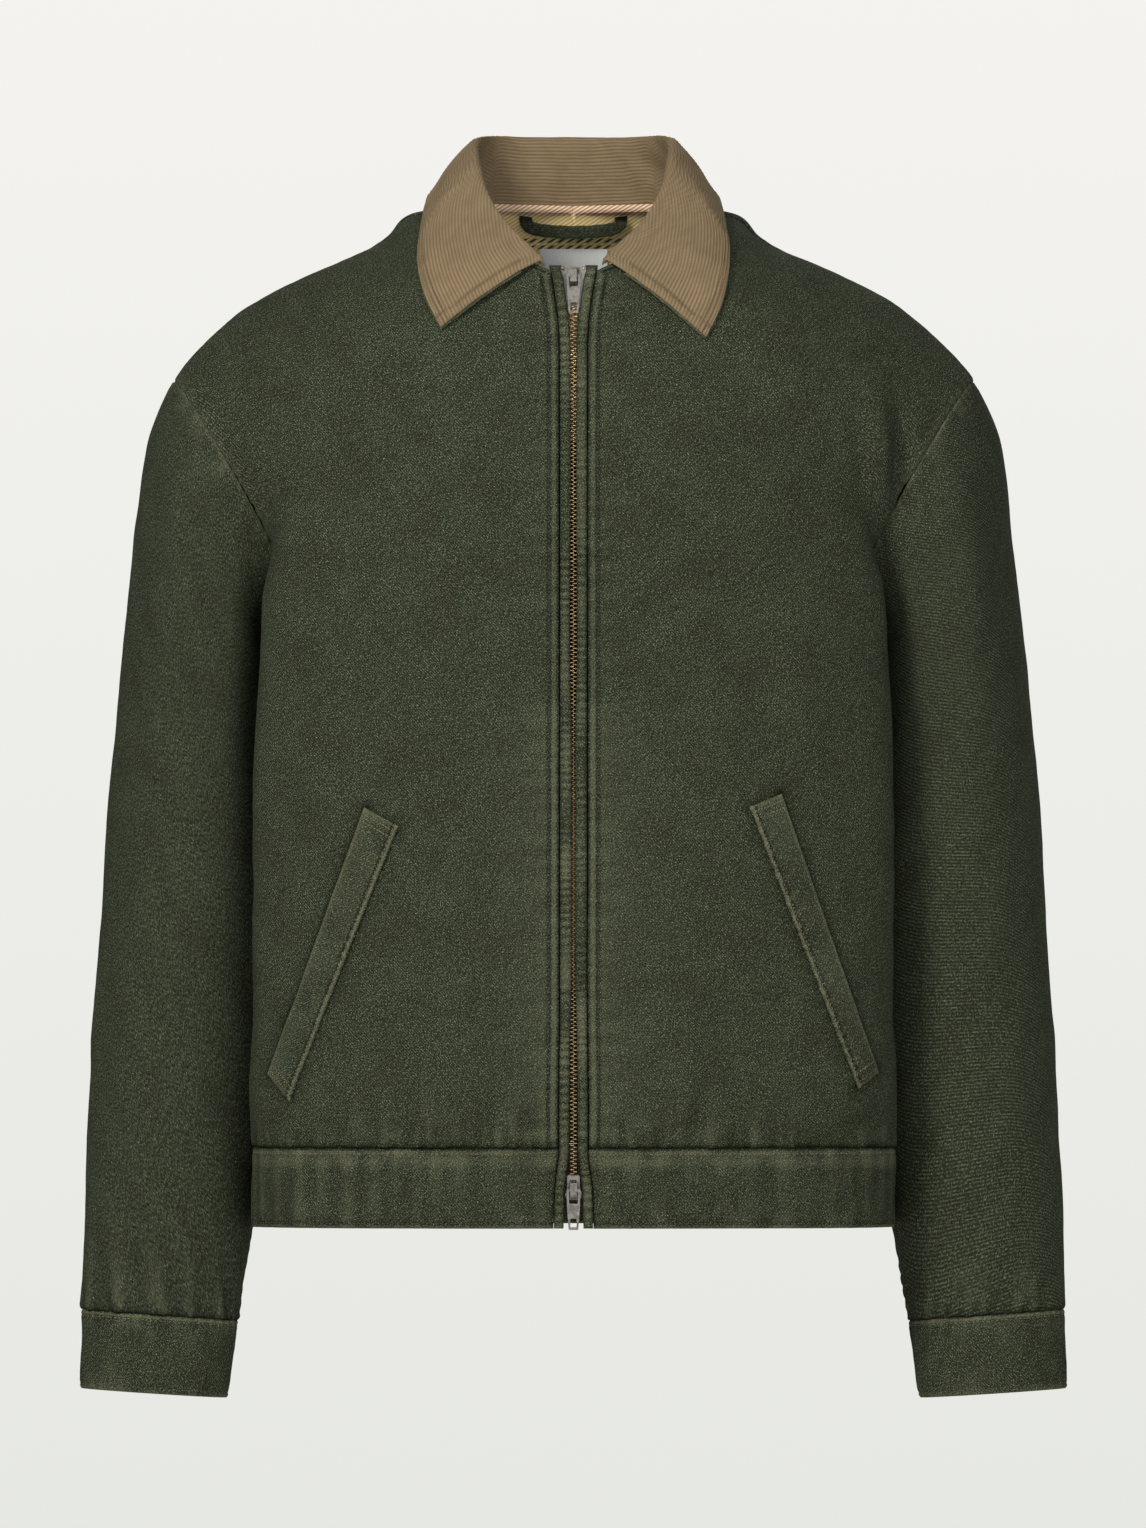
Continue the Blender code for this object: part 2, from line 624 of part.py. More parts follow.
def collar_section(along, tree, drop):
    """Visible face of the collar at a station: up the stand, over the fold and down the fall."""
    knots = [-COLLAR[1].along] + [station.along for station in COLLAR]
    table = [np.concatenate((station.roll, station.edge)) for station in COLLAR]
    table = [table[1] * (-1, 1, 1, -1, 1, 1)] + table
    roll, edge = np.split(spline(knots, table, along)[0], 2)
    edge[2] -= drop * smooth_step(along * 2 - 1)
    seam = neckline(min(along, COLLAR_START))
    seam = seam - unit(seam * (1, 1, 0)) + (0, 0, SEAM_RISE)
    if edge[1] < 0:
        place, normal = front_hit(tree, edge[0], edge[2])
    else:
        place, normal, _, _ = (np.array(value) for value in tree.find_nearest(Vector(edge)))
    edge = place + normal * (CORD_WALL + SEAM_GAP + UNDER_WALL + COLLAR_CLEAR)
    up = unit(roll - seam)
    end = roll
    for _ in range(3):
        down = unit(edge - end)
        out = unit(down - np.dot(down, up) * up)
        centre = roll + (out - up) * FOLD_RADIUS
        sweep = math.pi - math.acos(float(np.clip(np.dot(down, -up), -1, 1)))
        end = centre - FOLD_RADIUS * (out * math.cos(sweep) - up * math.sin(sweep))
    start = roll - up * FOLD_RADIUS
    points = [seam + (start - seam) * i / STAND_STEPS for i in range(STAND_STEPS)]
    for i in range(FOLD_STEPS):
        angle = sweep * i / FOLD_STEPS
        points.append(centre - FOLD_RADIUS * (out * math.cos(angle) - up * math.sin(angle)))
    crown = unit(up - np.dot(up, down) * down) * FALL_CROWN
    for i in range(FALL_STEPS + 1):
        share = i / FALL_STEPS
        points.append(end + (edge - end) * share + crown * math.sin(math.pi * share))
    return np.array(points)


def make_collar(cloth, tree, corduroy, denim, collection):
    """Corduroy collar folded over its stand, with a denim facing under the fall."""
    face = []
    for station in np.linspace(-1, 1, COLLAR_ALONG + 1):
        section = collar_section(abs(station), tree, RIGHT_TIP_DROP if station > 0 else 0.0)
        face.append(section if station >= 0 else mirrored(section))
    face = np.array(face)
    crest = STAND_STEPS + FOLD_STEPS // 2
    layers = CORD_WALL + SEAM_GAP + UNDER_WALL
    for _ in range(3):
        normals = shared_normals([(face, False, True)])[0]
        lowest = face - normals * layers
        face[:, crest:] += (lifted(lowest, tree, COLLAR_CLEAR) - lowest)[:, crest:]
    whole = Patch(face, normals, False, True, 0)
    fall = slice(STAND_STEPS + FOLD_STEPS + 1, None)
    under = whole._replace(points=whole.points[:, fall], normals=whole.normals[:, fall])
    cloth_piece("collar_top", [whole], CORD_WALL, corduroy, collection)
    cloth_piece("collar_under", [under], UNDER_WALL, denim, collection, depth=CORD_WALL + SEAM_GAP)


def make_neck_lining(cloth, twill, collection):
    """Twill facing of the upper back."""
    rows = slice(cloth.rows.index(LINING_ROW), None)
    halves = [cloth.patch("back", side, rows, slice(0, LINING_COLUMNS + 1)) for side in (-1, 1)]
    return cloth_piece("neck_lining", halves, LINING_WALL, twill, collection, depth=DENIM + SEAM_GAP)


def make_welts(tree, denim, collection):
    """Slanted welts lying on the fronts."""
    for welt in WELTS:
        rows = []
        for down in np.linspace(0, 1, WELT_ROWS):
            outer = np.array(welt.top_outer) * (1 - down) + np.array(welt.low_outer) * down
            inner = np.array(welt.top_inner) * (1 - down) + np.array(welt.low_inner) * down
            rows.append([outer * (1 - over) + inner * over for over in np.linspace(0, 1, WELT_ACROSS)])
        points = np.array([[front_hit(tree, welt.side * x, z)[0] for x, z in row] for row in rows])
        flip = welt.side < 0
        points = lifted(points, tree, WELT_CLEAR)
        normals = shared_normals([(points, False, flip)])[0]
        add_object(welt.name, *grid_wall(points + normals * WELT_WALL, points, flip), denim, collection)


class ZipLine:
    """Where the fronts' edges run: their depth and their distance from the middle at any height."""

    def __init__(self, cloth, tree):
        edge = cloth.grids["front", 1][:cloth.rows.index(NECK) + 1, 0]
        self.heights = [float(z) for z in edge[:, 2]]
        above = 2 * edge[-1] - edge[-2]
        self.table = np.vstack((edge, above))
        self.tree = tree

    def depth(self, height):
        return float(np.interp(height, self.table[:, 2], self.table[:, 1]))

    def ditch(self, height):
        return float(np.interp(height, self.table[:-1, 2], self.table[:-1, 0]))

    def depth_behind(self, height):
        """Depth of the tape's outer edge, behind the front's inner face."""
        depth = self.depth(height)
        for x in (self.ditch(height) + 1, TAPE_WIDTH):
            place, normal, _, _ = self.tree.ray_cast(Vector((x, OUTSIDE, height)), Vector((0, 1, 0)))
            if place and place[1] < 0:
                depth = max(depth, place[1] + DENIM / -normal[1] - DENIM)
        return depth + TAPE_SLANT

    def levels(self, low, high, extra=()):
        """Heights from low to high with every row of the cloth between them, at least 4 mm apart."""
        inside = [z for z in self.heights + list(extra) if low + 4 < z < high - 4]
        result = [low]
        for z in sorted(inside):
            if z - result[-1] > 4 or z in self.heights:
                result.append(z)
        return result + [high]


def make_zip_bands(line, denim, collection):
    """Rounded fold of denim on each side of the zip."""
    heights = line.levels(BAND_LOW, BAND_TOP, [row.height for row in FRONT_EDGE])
    profile = [(0, BAND_DEPTH), (0, 0.1), (0.2, -BAND_PROUD * 0.8), (0.5, -BAND_PROUD),
               (0.82, -BAND_PROUD * 0.75), (1, 0.1), (1, BAND_DEPTH)]
    for side, word in ((-1, "left"), (1, "right")):
        rings = []
        for height in heights:
            inner, outer = edge_value(height, "gap"), line.ditch(height) - SEAM_GAP
            rings.append([(side * (inner + (outer - inner) * share), line.depth(height) + depth, height)
                          for share, depth in profile])
        add_tube(f"zip_band_{word}", np.array(rings), denim, collection)


def make_zip(line, tape, brass, collection):
    """Tapes behind the bands, the closed teeth between them and a stop over each tape."""
    for side, word in ((-1, "left"), (1, "right")):
        grid = []
        for height in line.levels(TAPE_LOW, TAPE_TOP):
            inner = max(CHAIN_HALF + 0.4, edge_value(height, "gap") + 0.8 - 2.2 * (height > STOP_HEIGHT))
            grid.append([(side * inner, line.depth(height) + TAPE_DEPTH, height),
                         (side * TAPE_WIDTH, line.depth_behind(height) + TAPE_DEPTH, height)])
        grid = np.array(grid)
        add_object(f"zip_tape_{word}", *grid_wall(grid, grid + (0, TAPE_WALL, 0), side < 0),
                   tape, collection)
    grid = np.array([[(x, line.depth(height) + CHAIN_FRONT, height) for x in (-CHAIN_HALF, CHAIN_HALF)]
                     for height in line.levels(CHAIN_LOW, CHAIN_TOP)])
    add_object("zip_chain", *grid_wall(grid, grid + (0, CHAIN_BACK - CHAIN_FRONT, 0)), brass, collection)
    for side, word in ((-1, "left"), (1, "right")):
        bpy.ops.mesh.primitive_uv_sphere_add(segments=10, ring_count=6, radius=STOP_RADIUS * MM)
        stop = bpy.context.object
        stop.name = f"top_stop_{word}"
        stop.scale = (1, STOP_FLATNESS, 1)
        stop.location = Vector((side * STOP_APART, line.depth(STOP_HEIGHT) + TAPE_DEPTH
                                - STOP_RADIUS * STOP_FLATNESS - SEAM_GAP, STOP_HEIGHT)) * MM
        bpy.ops.object.transform_apply(location=False, rotation=False, scale=True)
        stop.data.materials.append(brass)
        stop.data.shade_smooth()
        for owner in list(stop.users_collection):
            owner.objects.unlink(stop)
        collection.objects.link(stop)


def slider_frame(line, height):
    """Matrix of a slider: x across, y into the cloth, z up along the zip."""
    reach = 0.8 * SLIDER_LENGTH
    low = Vector((0, line.depth(height - reach), height - reach))
    high = Vector((0, line.depth(height + reach), height + reach))
    up = (high - low).normalized()
    across = Vector((1, 0, 0))
    inward = up.cross(across)
    frame = Matrix.Identity(4)
    for index, axis in enumerate((across, inward, up)):
        for row in range(3):
            frame[row][index] = axis[row]
    frame.translation = Vector((0, line.depth(height), height)) * MM
    return frame


def make_slider(name, line, height, flare, metal, collection):
    """Slider with its flared end up (flare 1) or down (flare -1); gives the matrix of its tab's hinge."""
    half = SLIDER_LENGTH / 2
    outline = [(-PLATE_HALF, -half), (PLATE_HALF, -half), (PLATE_HALF, 0.5), (FLARE_HALF, half - 3),
               (FLARE_HALF - 1, half), (-FLARE_HALF + 1, half), (-FLARE_HALF, half - 3), (-PLATE_HALF, 0.5)]
    outline = [(x, z * flare) for x, z in rounded_outline(outline, 0.7, 1)]
    front = SLIDER_FRONT
    post = [(-1.0, half - 5.5), (1.0, half - 5.5), (2.2, half - 0.2), (-2.2, half - 0.2)]
    solids = [prism(outline, front, front + PLATE), prism(outline, *BACK_PLATE),
              prism([(x, z * flare) for x, z in post], front + 0.5, BACK_PLATE[0] + 0.5)]
    middle = BRIDGE_SHIFT * flare
    reach = BRIDGE_LENGTH / 2
    crown, shoulder = front - BRIDGE_RISE, front - BRIDGE_RISE - BRIDGE_WALL * 0.8
    foot, inner = 0.6, reach - BRIDGE_WALL * 1.1
    arch = [(-reach, front + foot), (-reach, front - foot), (-reach * 0.72, shoulder),
            (-reach * 0.5, crown - BRIDGE_WALL), (reach * 0.5, crown - BRIDGE_WALL),
            (reach * 0.72, shoulder), (reach, front - foot), (reach, front + foot),
            (inner, front + foot), (inner, front - foot), (reach * 0.5, crown),
            (-reach * 0.5, crown), (-inner, front - foot), (-inner, front + foot)]
    vertices = [(x, y, z + middle) for x in (-BRIDGE_HALF, BRIDGE_HALF) for z, y in arch]
    count = len(arch)
    faces = [list(range(count)), list(range(2 * count - 1, count - 1, -1))]
    faces += [[i, (i + 1) % count, (i + 1) % count + count, i + count] for i in range(count)]
    solids.append((vertices, faces))
    frame = slider_frame(line, height)
    union(name, solids, metal, collection, frame)
    return frame @ Matrix.Translation(Vector((0, HINGE_DEPTH, middle)) * MM)


def make_pull_tab(name, hinge, metal, collection):
    """Flat tab hanging from its hinge: an eye round the bridge, a plate and a small window."""
    outlines = [
        rounded_outline([(-4.1, 0.8), (4.1, 0.8), (4.0, -10), (3.0, -TAB_LENGTH), (-3.0, -TAB_LENGTH),
                         (-4.0, -10)], 0.8, 2),
        rounded_outline([(-2.75, -0.8), (2.75, -0.8), (2.75, -8.4), (-2.75, -8.4)], 0.7, 2),
        rounded_outline([(-2.0, -17.6), (2.0, -17.6), (1.9, -22.8), (-1.9, -22.8)], 0.4, 1),
    ]
    curve = bpy.data.curves.new(name, "CURVE")
    curve.dimensions = "2D"
    curve.fill_mode = "BOTH"
    curve.extrude = TAB_THICK / 2 * MM
    for outline in outlines:
        line = curve.splines.new("POLY")
        line.points.add(len(outline) - 1)
        for point, (x, z) in zip(line.points, outline):
            point.co = (x * MM, z * MM, 0, 1)
        line.use_cyclic_u = True
    helper = bpy.data.objects.new(name + "_outline", curve)
    collection.objects.link(helper)
    graph = bpy.context.evaluated_depsgraph_get()
    mesh = bpy.data.meshes.new_from_object(helper.evaluated_get(graph))
    bpy.data.objects.remove(helper)
    shape = bmesh.new()
    shape.from_mesh(mesh)
    bmesh.ops.remove_doubles(shape, verts=shape.verts, dist=0.00001)
    bmesh.ops.recalc_face_normals(shape, faces=shape.faces)
    shape.to_mesh(mesh)
    shape.free()
    mesh.transform(Matrix.Rotation(math.radians(90), 4, "X"))
    mesh.name = name
    mesh.materials.clear()
    mesh.materials.append(metal)
    tab = bpy.data.objects.new(name, mesh)
    collection.objects.link(tab)
    pivot = bpy.data.objects.new(name + "_hinge", None)
    pivot.matrix_world = hinge
    collection.objects.link(pivot)
    tab.parent = pivot


def make_neck_trim(lining, denim, plain, collection):
    """Blank label on the lining, and the hanger loop that bows out from it below the collar."""
    tree = BVHTree.FromPolygons([Vector(vertex.co) / MM for vertex in lining.data.vertices],
                                [tuple(face.vertices) for face in lining.data.polygons])
    in_front, step = -60, 3

    def on_lining(x, z, clear):
        """Point in front of the lining; above its top edge the lining's slope is carried on."""
        level = z
        upper = None
        while upper is None:
            level -= step / 2
            upper, _, _, _ = tree.ray_cast(Vector((x, in_front, level)), Vector((0, 1, 0)))
        lower, _, _, _ = tree.ray_cast(Vector((x, in_front, level - step)), Vector((0, 1, 0)))
        slope = (upper[1] - lower[1]) / step
        return np.array((x, upper[1] + slope * (z - level) - clear, z))

    label = np.array([[on_lining(x, z, LABEL_CLEAR) for x in np.linspace(-LABEL_HALF, LABEL_HALF, 7)]
                      for z in np.linspace(LABEL_LOW, LABEL_TOP, 6)])
    add_object("neck_label", *grid_wall(label - (0, LABEL_WALL, 0), label), plain, collection)

    at = np.linspace(0, len(LOOP) - 1, 17)
    route = spline(range(len(LOOP)), LOOP, at)
    rings = []
    for index, (x, z, clear) in enumerate(route):
        before, after = route[max(index - 1, 0)], route[min(index + 1, len(route) - 1)]
        run = unit(after[:2] - before[:2])
        over = np.array((-run[1], 0, run[0])) * LOOP_HALF
        profile = ((-1, 0.2), (-0.7, 1), (0.7, 1), (1, 0.2), (0.8, 0), (-0.8, 0))
        upright = smooth_step(clear / LOOP[len(LOOP) // 2][2])
        ring = []
        for share, out in profile:
            depth = SEAM_GAP + clear + LOOP_WALL * out
            close = on_lining(x + over[0] * share, z + over[2] * share, depth)
            close[1] += (on_lining(close[0], z, depth)[1] - close[1]) * upright
            ring.append(close)
        rings.append(ring)
    add_tube("hanger_loop", np.array(rings), denim, collection)


def build():
    for old in list(bpy.data.objects):
        bpy.data.objects.remove(old)
    collection = bpy.data.collections.new("denim_jacket")
    bpy.context.scene.collection.children.link(collection)
    denim = finish("green_denim", (0.030, 0.048, 0.026), 0.9)
    corduroy = finish("tan_corduroy", (0.33, 0.23, 0.14), 0.95)
    twill = finish("ochre_twill", (0.60, 0.44, 0.16), 0.9)
    tape = finish("dark_tape", (0.012, 0.016, 0.011), 0.9)
    label = finish("pale_label", (0.50, 0.50, 0.48), 0.6)
    brass = finish("aged_brass", (0.45, 0.28, 0.12), 0.35, 1.0)
    steel = finish("grey_steel", (0.42, 0.42, 0.40), 0.3, 1.0)
    cloth = Cloth()
    tree = surface_tree(cloth.outer_parts())
    line = ZipLine(cloth, tree)
    make_body(cloth, denim, collection)
    make_collar(cloth, tree, corduroy, denim, collection)
    lining = make_neck_lining(cloth, twill, collection)
    make_neck_trim(lining, denim, label, collection)
    make_welts(tree, denim, collection)
    make_zip_bands(line, denim, collection)
    make_zip(line, tape, brass, collection)
    for word, height, flare in (("top", TOP_SLIDER, 1), ("bottom", LOW_SLIDER, -1)):
        hinge = make_slider(f"slider_{word}", line, height, flare, steel, collection)
        if hinge[1][2] < 0:     # the cloth falls away below it, so the tab hangs plumb
            hinge = Matrix.Translation(hinge.translation)
        make_pull_tab(f"pull_tab_{word}", hinge, steel, collection)


build()
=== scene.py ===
"""Looks of a denim zip jacket with a corduroy collar, laid out as an add-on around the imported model.

Tables are in millimetres, meshes in metres. The cloth's form is the solids' own, drawn again on a finer
grid; creases, puckers, stitching, wales and zip teeth are then laid on it.
"""
import functools
import math
from collections import namedtuple

import bpy
import numpy as np
from bpy.props import FloatProperty, FloatVectorProperty, PointerProperty
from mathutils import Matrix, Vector
from mathutils.bvhtree import BVHTree


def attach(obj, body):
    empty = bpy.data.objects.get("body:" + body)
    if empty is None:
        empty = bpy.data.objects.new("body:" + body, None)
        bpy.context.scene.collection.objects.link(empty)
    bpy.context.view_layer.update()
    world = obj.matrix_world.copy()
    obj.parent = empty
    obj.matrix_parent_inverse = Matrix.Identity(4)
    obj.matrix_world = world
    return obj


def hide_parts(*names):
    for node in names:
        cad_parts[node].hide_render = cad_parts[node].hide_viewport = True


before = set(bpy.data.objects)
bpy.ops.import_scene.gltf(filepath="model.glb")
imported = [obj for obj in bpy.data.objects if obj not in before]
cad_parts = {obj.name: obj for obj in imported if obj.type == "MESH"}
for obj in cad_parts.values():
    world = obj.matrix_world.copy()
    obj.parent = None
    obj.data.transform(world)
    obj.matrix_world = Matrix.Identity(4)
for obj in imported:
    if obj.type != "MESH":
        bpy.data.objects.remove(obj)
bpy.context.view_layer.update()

bl_info = {
    "name": "Denim jacket looks",
    "version": (1, 0, 0),
    "blender": (4, 5, 0),
    "location": "3D View > Sidebar > Jacket",
    "description": "Cloth, seams, zip and studio of a filled-out denim jacket",
    "category": "Object",
}

MM = 0.001
BODY = "jacket"
SIDES = ((-1, "left"), (1, "right"))

# ================================================================ the solids' sizes and form tables
DENIM = 2.0                 # wall of the body, sleeves and waistband
SEAM_GAP = 0.3              # between two pieces that are sewn together
CORD_WALL = 1.8             # corduroy of the top collar
UNDER_WALL = 1.0            # denim of the under-collar
LINING_WALL = 1.0
WELT_WALL = 1.8
BAND_PROUD = 1.4            # how far the zip's edge bands stand out of the fronts
BAND_DEPTH = 1.2            # and how deep they reach behind the fronts' face
BAND_TOP, BAND_LOW = -29.0, -622.3
CHAIN_FRONT, CHAIN_BACK = 1.5, 3.9      # depths of the closed teeth behind the fronts' face
CHAIN_TOP, CHAIN_LOW = -37.0, -596.0

ROWS_PER_BODY = 20          # rows of the fronts and back above the waistband seam
BLOUSE = 3.5                # the cloth stands out this much over the waistband
UNDERARM = 10.0             # row of the underarm point
NECK = 16.0                 # row where the front edge meets the neckline
HEM = -1.6                  # row of the hem, below the waistband seam at row 0
OUTSIDE = -400              # depth from which the front is looked at
INSIDE = -60                # depth from which the lining is looked at
FAR = 1e3                   # farther than any point is from an edge

# ---------------------------------------------------------------- body, a row of points for each section
# centre: front edge or neckline; mid, turn, flank, tuck: on the way round to the side; all (x, y, z)
Section = namedtuple("Section", "row centre mid turn flank tuck")

FRONT = [
    Section(-1.6, (8.5, -120, -622.5), (105, -112, -622.5), (173, -85, -622.5), (198.5, -40, -622.5),
            (196, -8, -622.5)),
    Section(0.0, (8.5, -122, -573), (105, -114, -573), (173, -88, -573), (198.5, -45, -573),
            (192, -12, -573)),
    Section(3.0, (8.5, -128, -480), (102, -121, -480), (170, -95, -480), (198, -55, -480),
            (183, -18, -480)),
    Section(6.0, (8.5, -130, -390), (101, -123, -390), (168, -97, -390), (197.5, -59, -390),
            (180, -21, -390)),
    Section(8.5, (8.5, -130, -318), (100, -122, -315), (167, -97, -312), (196.5, -61, -308),
            (179, -25, -304)),
    Section(10.0, (8.5, -128, -270), (99, -120, -266), (166, -94, -260), (193, -60, -250),
            (177, -30, -245)),
    Section(12.0, (8.5, -124, -200), (96, -116, -202), (162, -91, -208), (188, -62, -214),
            (181, -41, -220)),
    Section(14.0, (8.5, -112, -118), (92, -108, -133), (150, -90, -153), (179, -70, -172),
            (188, -57, -181)),
    Section(16.0, (8.5, -88, -33), (70, -87, -63), (134, -85, -98), (182, -69, -126),
            (202, -57, -137)),
    Section(18.0, (52, -56, -12), (98, -66, -36), (146, -58, -61), (194, -45, -87),
            (219, -33, -100)),
    Section(20.0, (76, 8, 6), (115, 9, -9.5), (162, 11, -32), (208, 15, -57), (231, 17, -77)),
]
BACK = [
    Section(-1.6, (0, 122, -622.5), (95, 114, -622.5), (164, 89, -622.5), (187, 60, -622.5),
            (190, 42, -622.5)),
    Section(0.0, (0, 124, -573), (95, 116, -573), (161, 91, -573), (182, 62, -573), (185, 43, -573)),
    Section(3.0, (0, 131, -480), (90, 124, -480), (149, 101, -480), (169, 69, -480), (172, 46, -480)),
    Section(6.0, (0, 134, -390), (88, 127, -390), (146, 104, -390), (167, 72, -390), (171, 47, -390)),
    Section(8.5, (0, 135, -315), (87, 128, -312), (145, 105, -308), (166, 72, -304), (171, 47, -302)),
    Section(10.0, (0, 135, -262), (87, 129, -260), (146, 107, -256), (168, 74, -249), (172, 48, -244)),
    Section(12.0, (0, 132, -180), (86, 127, -186), (147, 111, -199), (172, 90, -211), (178, 73, -219)),
    Section(14.0, (0, 118, -90), (84, 115, -107), (146, 107, -136), (178, 96, -161), (187, 89, -176)),
    Section(16.0, (0, 72, 8), (66, 85, -28), (133, 90, -78), (182, 90, -112), (203, 85, -130)),
    Section(18.0, (52, 52, 9), (98, 55, -19), (147, 66, -57), (196, 63, -85), (220, 59, -99)),
    Section(20.0, (76, 8, 6), (115, 9, -9.5), (162, 11, -32), (208, 15, -57), (231, 17, -77)),
]
SIDE_SEAM = [               # row, (x, y, z) from the hem up to the underarm
    (-1.6, (190, 22, -622.5)), (0.0, (185, 22, -573)), (3.0, (174, 20, -480)),
    (6.0, (171, 20, -390)), (8.5, (171, 20, -300)), (10.0, (173, 19, -240)),
]
COLUMN_KNOTS = (0.0, 0.32, 0.57, 0.75, 0.875, 1.0)

# ---------------------------------------------------------------- sleeve, a ring for each section
# outer: crown line; inner: underarm line, both (x, z); middle: y of both; depths to the front and back
Ring = namedtuple("Ring", "along outer inner middle front back")

SLEEVE = [
    Ring(0, (248.6, -98.6), (173, -240), 19, 69, 62),
    Ring(36, (263, -132), (186.5, -255), 22, 71, 66),
    Ring(80, (270.5, -175), (187, -290), 26, 73, 69),
    Ring(127, (275.5, -222), (186, -325), 29, 74, 71),
    Ring(175, (280.5, -270), (184.5, -363), 31, 73, 72),
    Ring(231, (286, -325), (183, -403), 32, 72, 70),
    Ring(301, (291, -395), (183, -452), 32, 69, 66),
    Ring(381, (296.5, -475), (186, -510), 29, 62, 60),
    Ring(461, (301.3, -555), (193, -575), 23, 54, 52),
    Ring(526, (304, -620), (200, -632), 17, 45, 44),
    Ring(580, (305.2, -674), (208, -681), 12, 36, 36),
    Ring(629, (306.4, -723), (214.2, -729), 8, 32, 32),
]
CUFF_SEAM, CUFF_END = 580.0, 629.0
ARMHOLE_BOW = 9.0           # the front armhole curves towards the chest by this much

# soft standing folds of the sleeves: angle and half width in degrees, stretch in mm, height in mm
Fold = namedtuple("Fold", "side angle half_width start end height")
FOLDS = [
    Fold(-1, 60, 17, 4, 250, 4.0), Fold(-1, 92, 15, 4, 210, -3.0), Fold(-1, 118, 14, 30, 300, 2.5),
    Fold(-1, 300, 20, 150, 420, -3.0), Fold(-1, 30, 16, 260, 470, -2.0),
    Fold(1, 64, 16, 4, 190, 3.5), Fold(1, 44, 14, 6, 160, -3.0), Fold(1, 100, 16, 40, 260, -2.5),
    Fold(1, 70, 22, 260, 500, 2.5), Fold(1, 290, 20, 100, 380, -3.0),
]

# ---------------------------------------------------------------- front edge, by height
# gap: from the middle to an edge band; ditch: from the middle to the front's own edge
FrontEdge = namedtuple("FrontEdge", "height gap ditch")
FRONT_EDGE = [
    FrontEdge(-624, 6.2, 12.4), FrontEdge(-606, 5.8, 11.9), FrontEdge(-598, 5.6, 11.7),
    FrontEdge(-590, 4.6, 10.8), FrontEdge(-576, 2.8, 9.0), FrontEdge(-500, 2.0, 8.5),
    FrontEdge(-470, 1.0, 8.5), FrontEdge(-320, 1.0, 8.5), FrontEdge(-270, 2.2, 8.5),
    FrontEdge(-160, 1.7, 8.5), FrontEdge(-75, 1.9, 8.6), FrontEdge(-60, 3.2, 9.6),
    FrontEdge(-46, 4.9, 11.6), FrontEdge(-37, 6.0, 13.0), FrontEdge(-31, 7.8, 14.2),
    FrontEdge(-27, 9.0, 15.0),
]

# ---------------------------------------------------------------- slanted welts: (x, z) corners
Welt = namedtuple("Welt", "name side top_outer top_inner low_outer low_inner")
WELTS = [
    Welt("welt_left", -1, (128.7, -362.7), (107.6, -374.5), (188.0, -527.6), (175.0, -544.4)),
    Welt("welt_right", 1, (128.0, -354.5), (108.0, -362.5), (187.6, -526.4), (175.0, -536.5)),
]

# ---------------------------------------------------------------- collar, stations from back to front
# roll: top of the fold; edge: outer edge of the fall, both (x, y, z); 0.5 is at the shoulder seam
Station = namedtuple("Station", "along roll edge")
COLLAR = [
    Station(0.00, (0, 76, 55), (0, 108, -8)),
    Station(0.17, (36, 71, 55), (45, 104, -10)),
    Station(0.33, (53, 45, 54.5), (76, 76, -9)),
    Station(0.50, (57.5, 12, 49), (90, 13, 0)),
    Station(0.62, (56.5, -18, 37), (94.5, -18, -12)),
    Station(0.75, (49.5, -46, 14), (94.5, -48, -31)),
    Station(0.88, (34, -70, -7), (90, -76, -50)),
    Station(1.00, (17.5, -86, -23), (81.5, -92, -67.5)),
]
RIGHT_TIP_DROP = 6.0        # the right fall's point hangs this much lower
SEAM_RISE = 1.4             # the stand begins this far over the neckline
FOLD_RADIUS = 3.7
FALL_CROWN = 2.5            # the fall arches this much between its fold and its edge
COLLAR_ALONG = 30           # segments along the whole collar
STAND_STEPS, FOLD_STEPS, FALL_STEPS = 3, 4, 6
COLLAR_CLEAR = 0.8
COLLAR_START = 0.95         # the stand's front end stops this far along the neckline

# ---------------------------------------------------------------- inside the neck
LINING_ROW, LINING_COLUMNS = 13, 3
LOOP_HALF, LOOP_WALL, LOOP_TOP = 4.0, 1.6, 4.5
# hanger loop from tack to tack: across, height, distance from the lining
LOOP = [(-29.5, LOOP_TOP, 1.0), (-29.5, 1.6, 1.1), (-27, -2, 4.4), (-18, -4.2, 6.3), (0, -5.2, 7.0),
        (18, -4.2, 6.3), (27, -2, 4.4), (29.5, 1.6, 1.1), (29.5, LOOP_TOP, 1.0)]

# ---------------------------------------------------------------- the dressed pieces' own sizes
SHELL = 1.7                 # wall of the dressed cloth
KEEP = 3                    # the inner face has one point for this many of the outer face's
TOPSTITCH = 6.6             # rows of stitches: on a front, from its edge
HEM_STITCH = 3.2            # from the free edge of the waistband or a cuff
SEAM_STITCH = 3.4           # from the seam of the waistband or a cuff
ARMHOLE_STITCH = 2.6        # on a sleeve, from the armhole
COLLAR_STITCHES = (3.2, 6.6)            # along the fall's outer edge
COLLAR_FRONT_STITCH = 6.4   # along the collar's front edges
WELT_STITCH = 3.0           # along the welt's inner edge
COLLAR_FINE = (211, 331)    # points along and across the collar
FACING_FINE = (121, 41)     # and its denim facing
WELT_FINE = (133, 25)       # points down and across a welt
TOOTH_PITCH = 1.25
TWILL_SLANT = math.radians(-43)
LINING_SLANT = math.radians(58)
LINING_DASHES = ((-11.6, -9.0), (-15.4, -13.2))     # heights of the two rows of dashes
PINK_FROM, PINK_FULL = 4.6, 5.0         # heights at which the pinkish strip begins
PER_METRE = (1000, 1000, 1000)

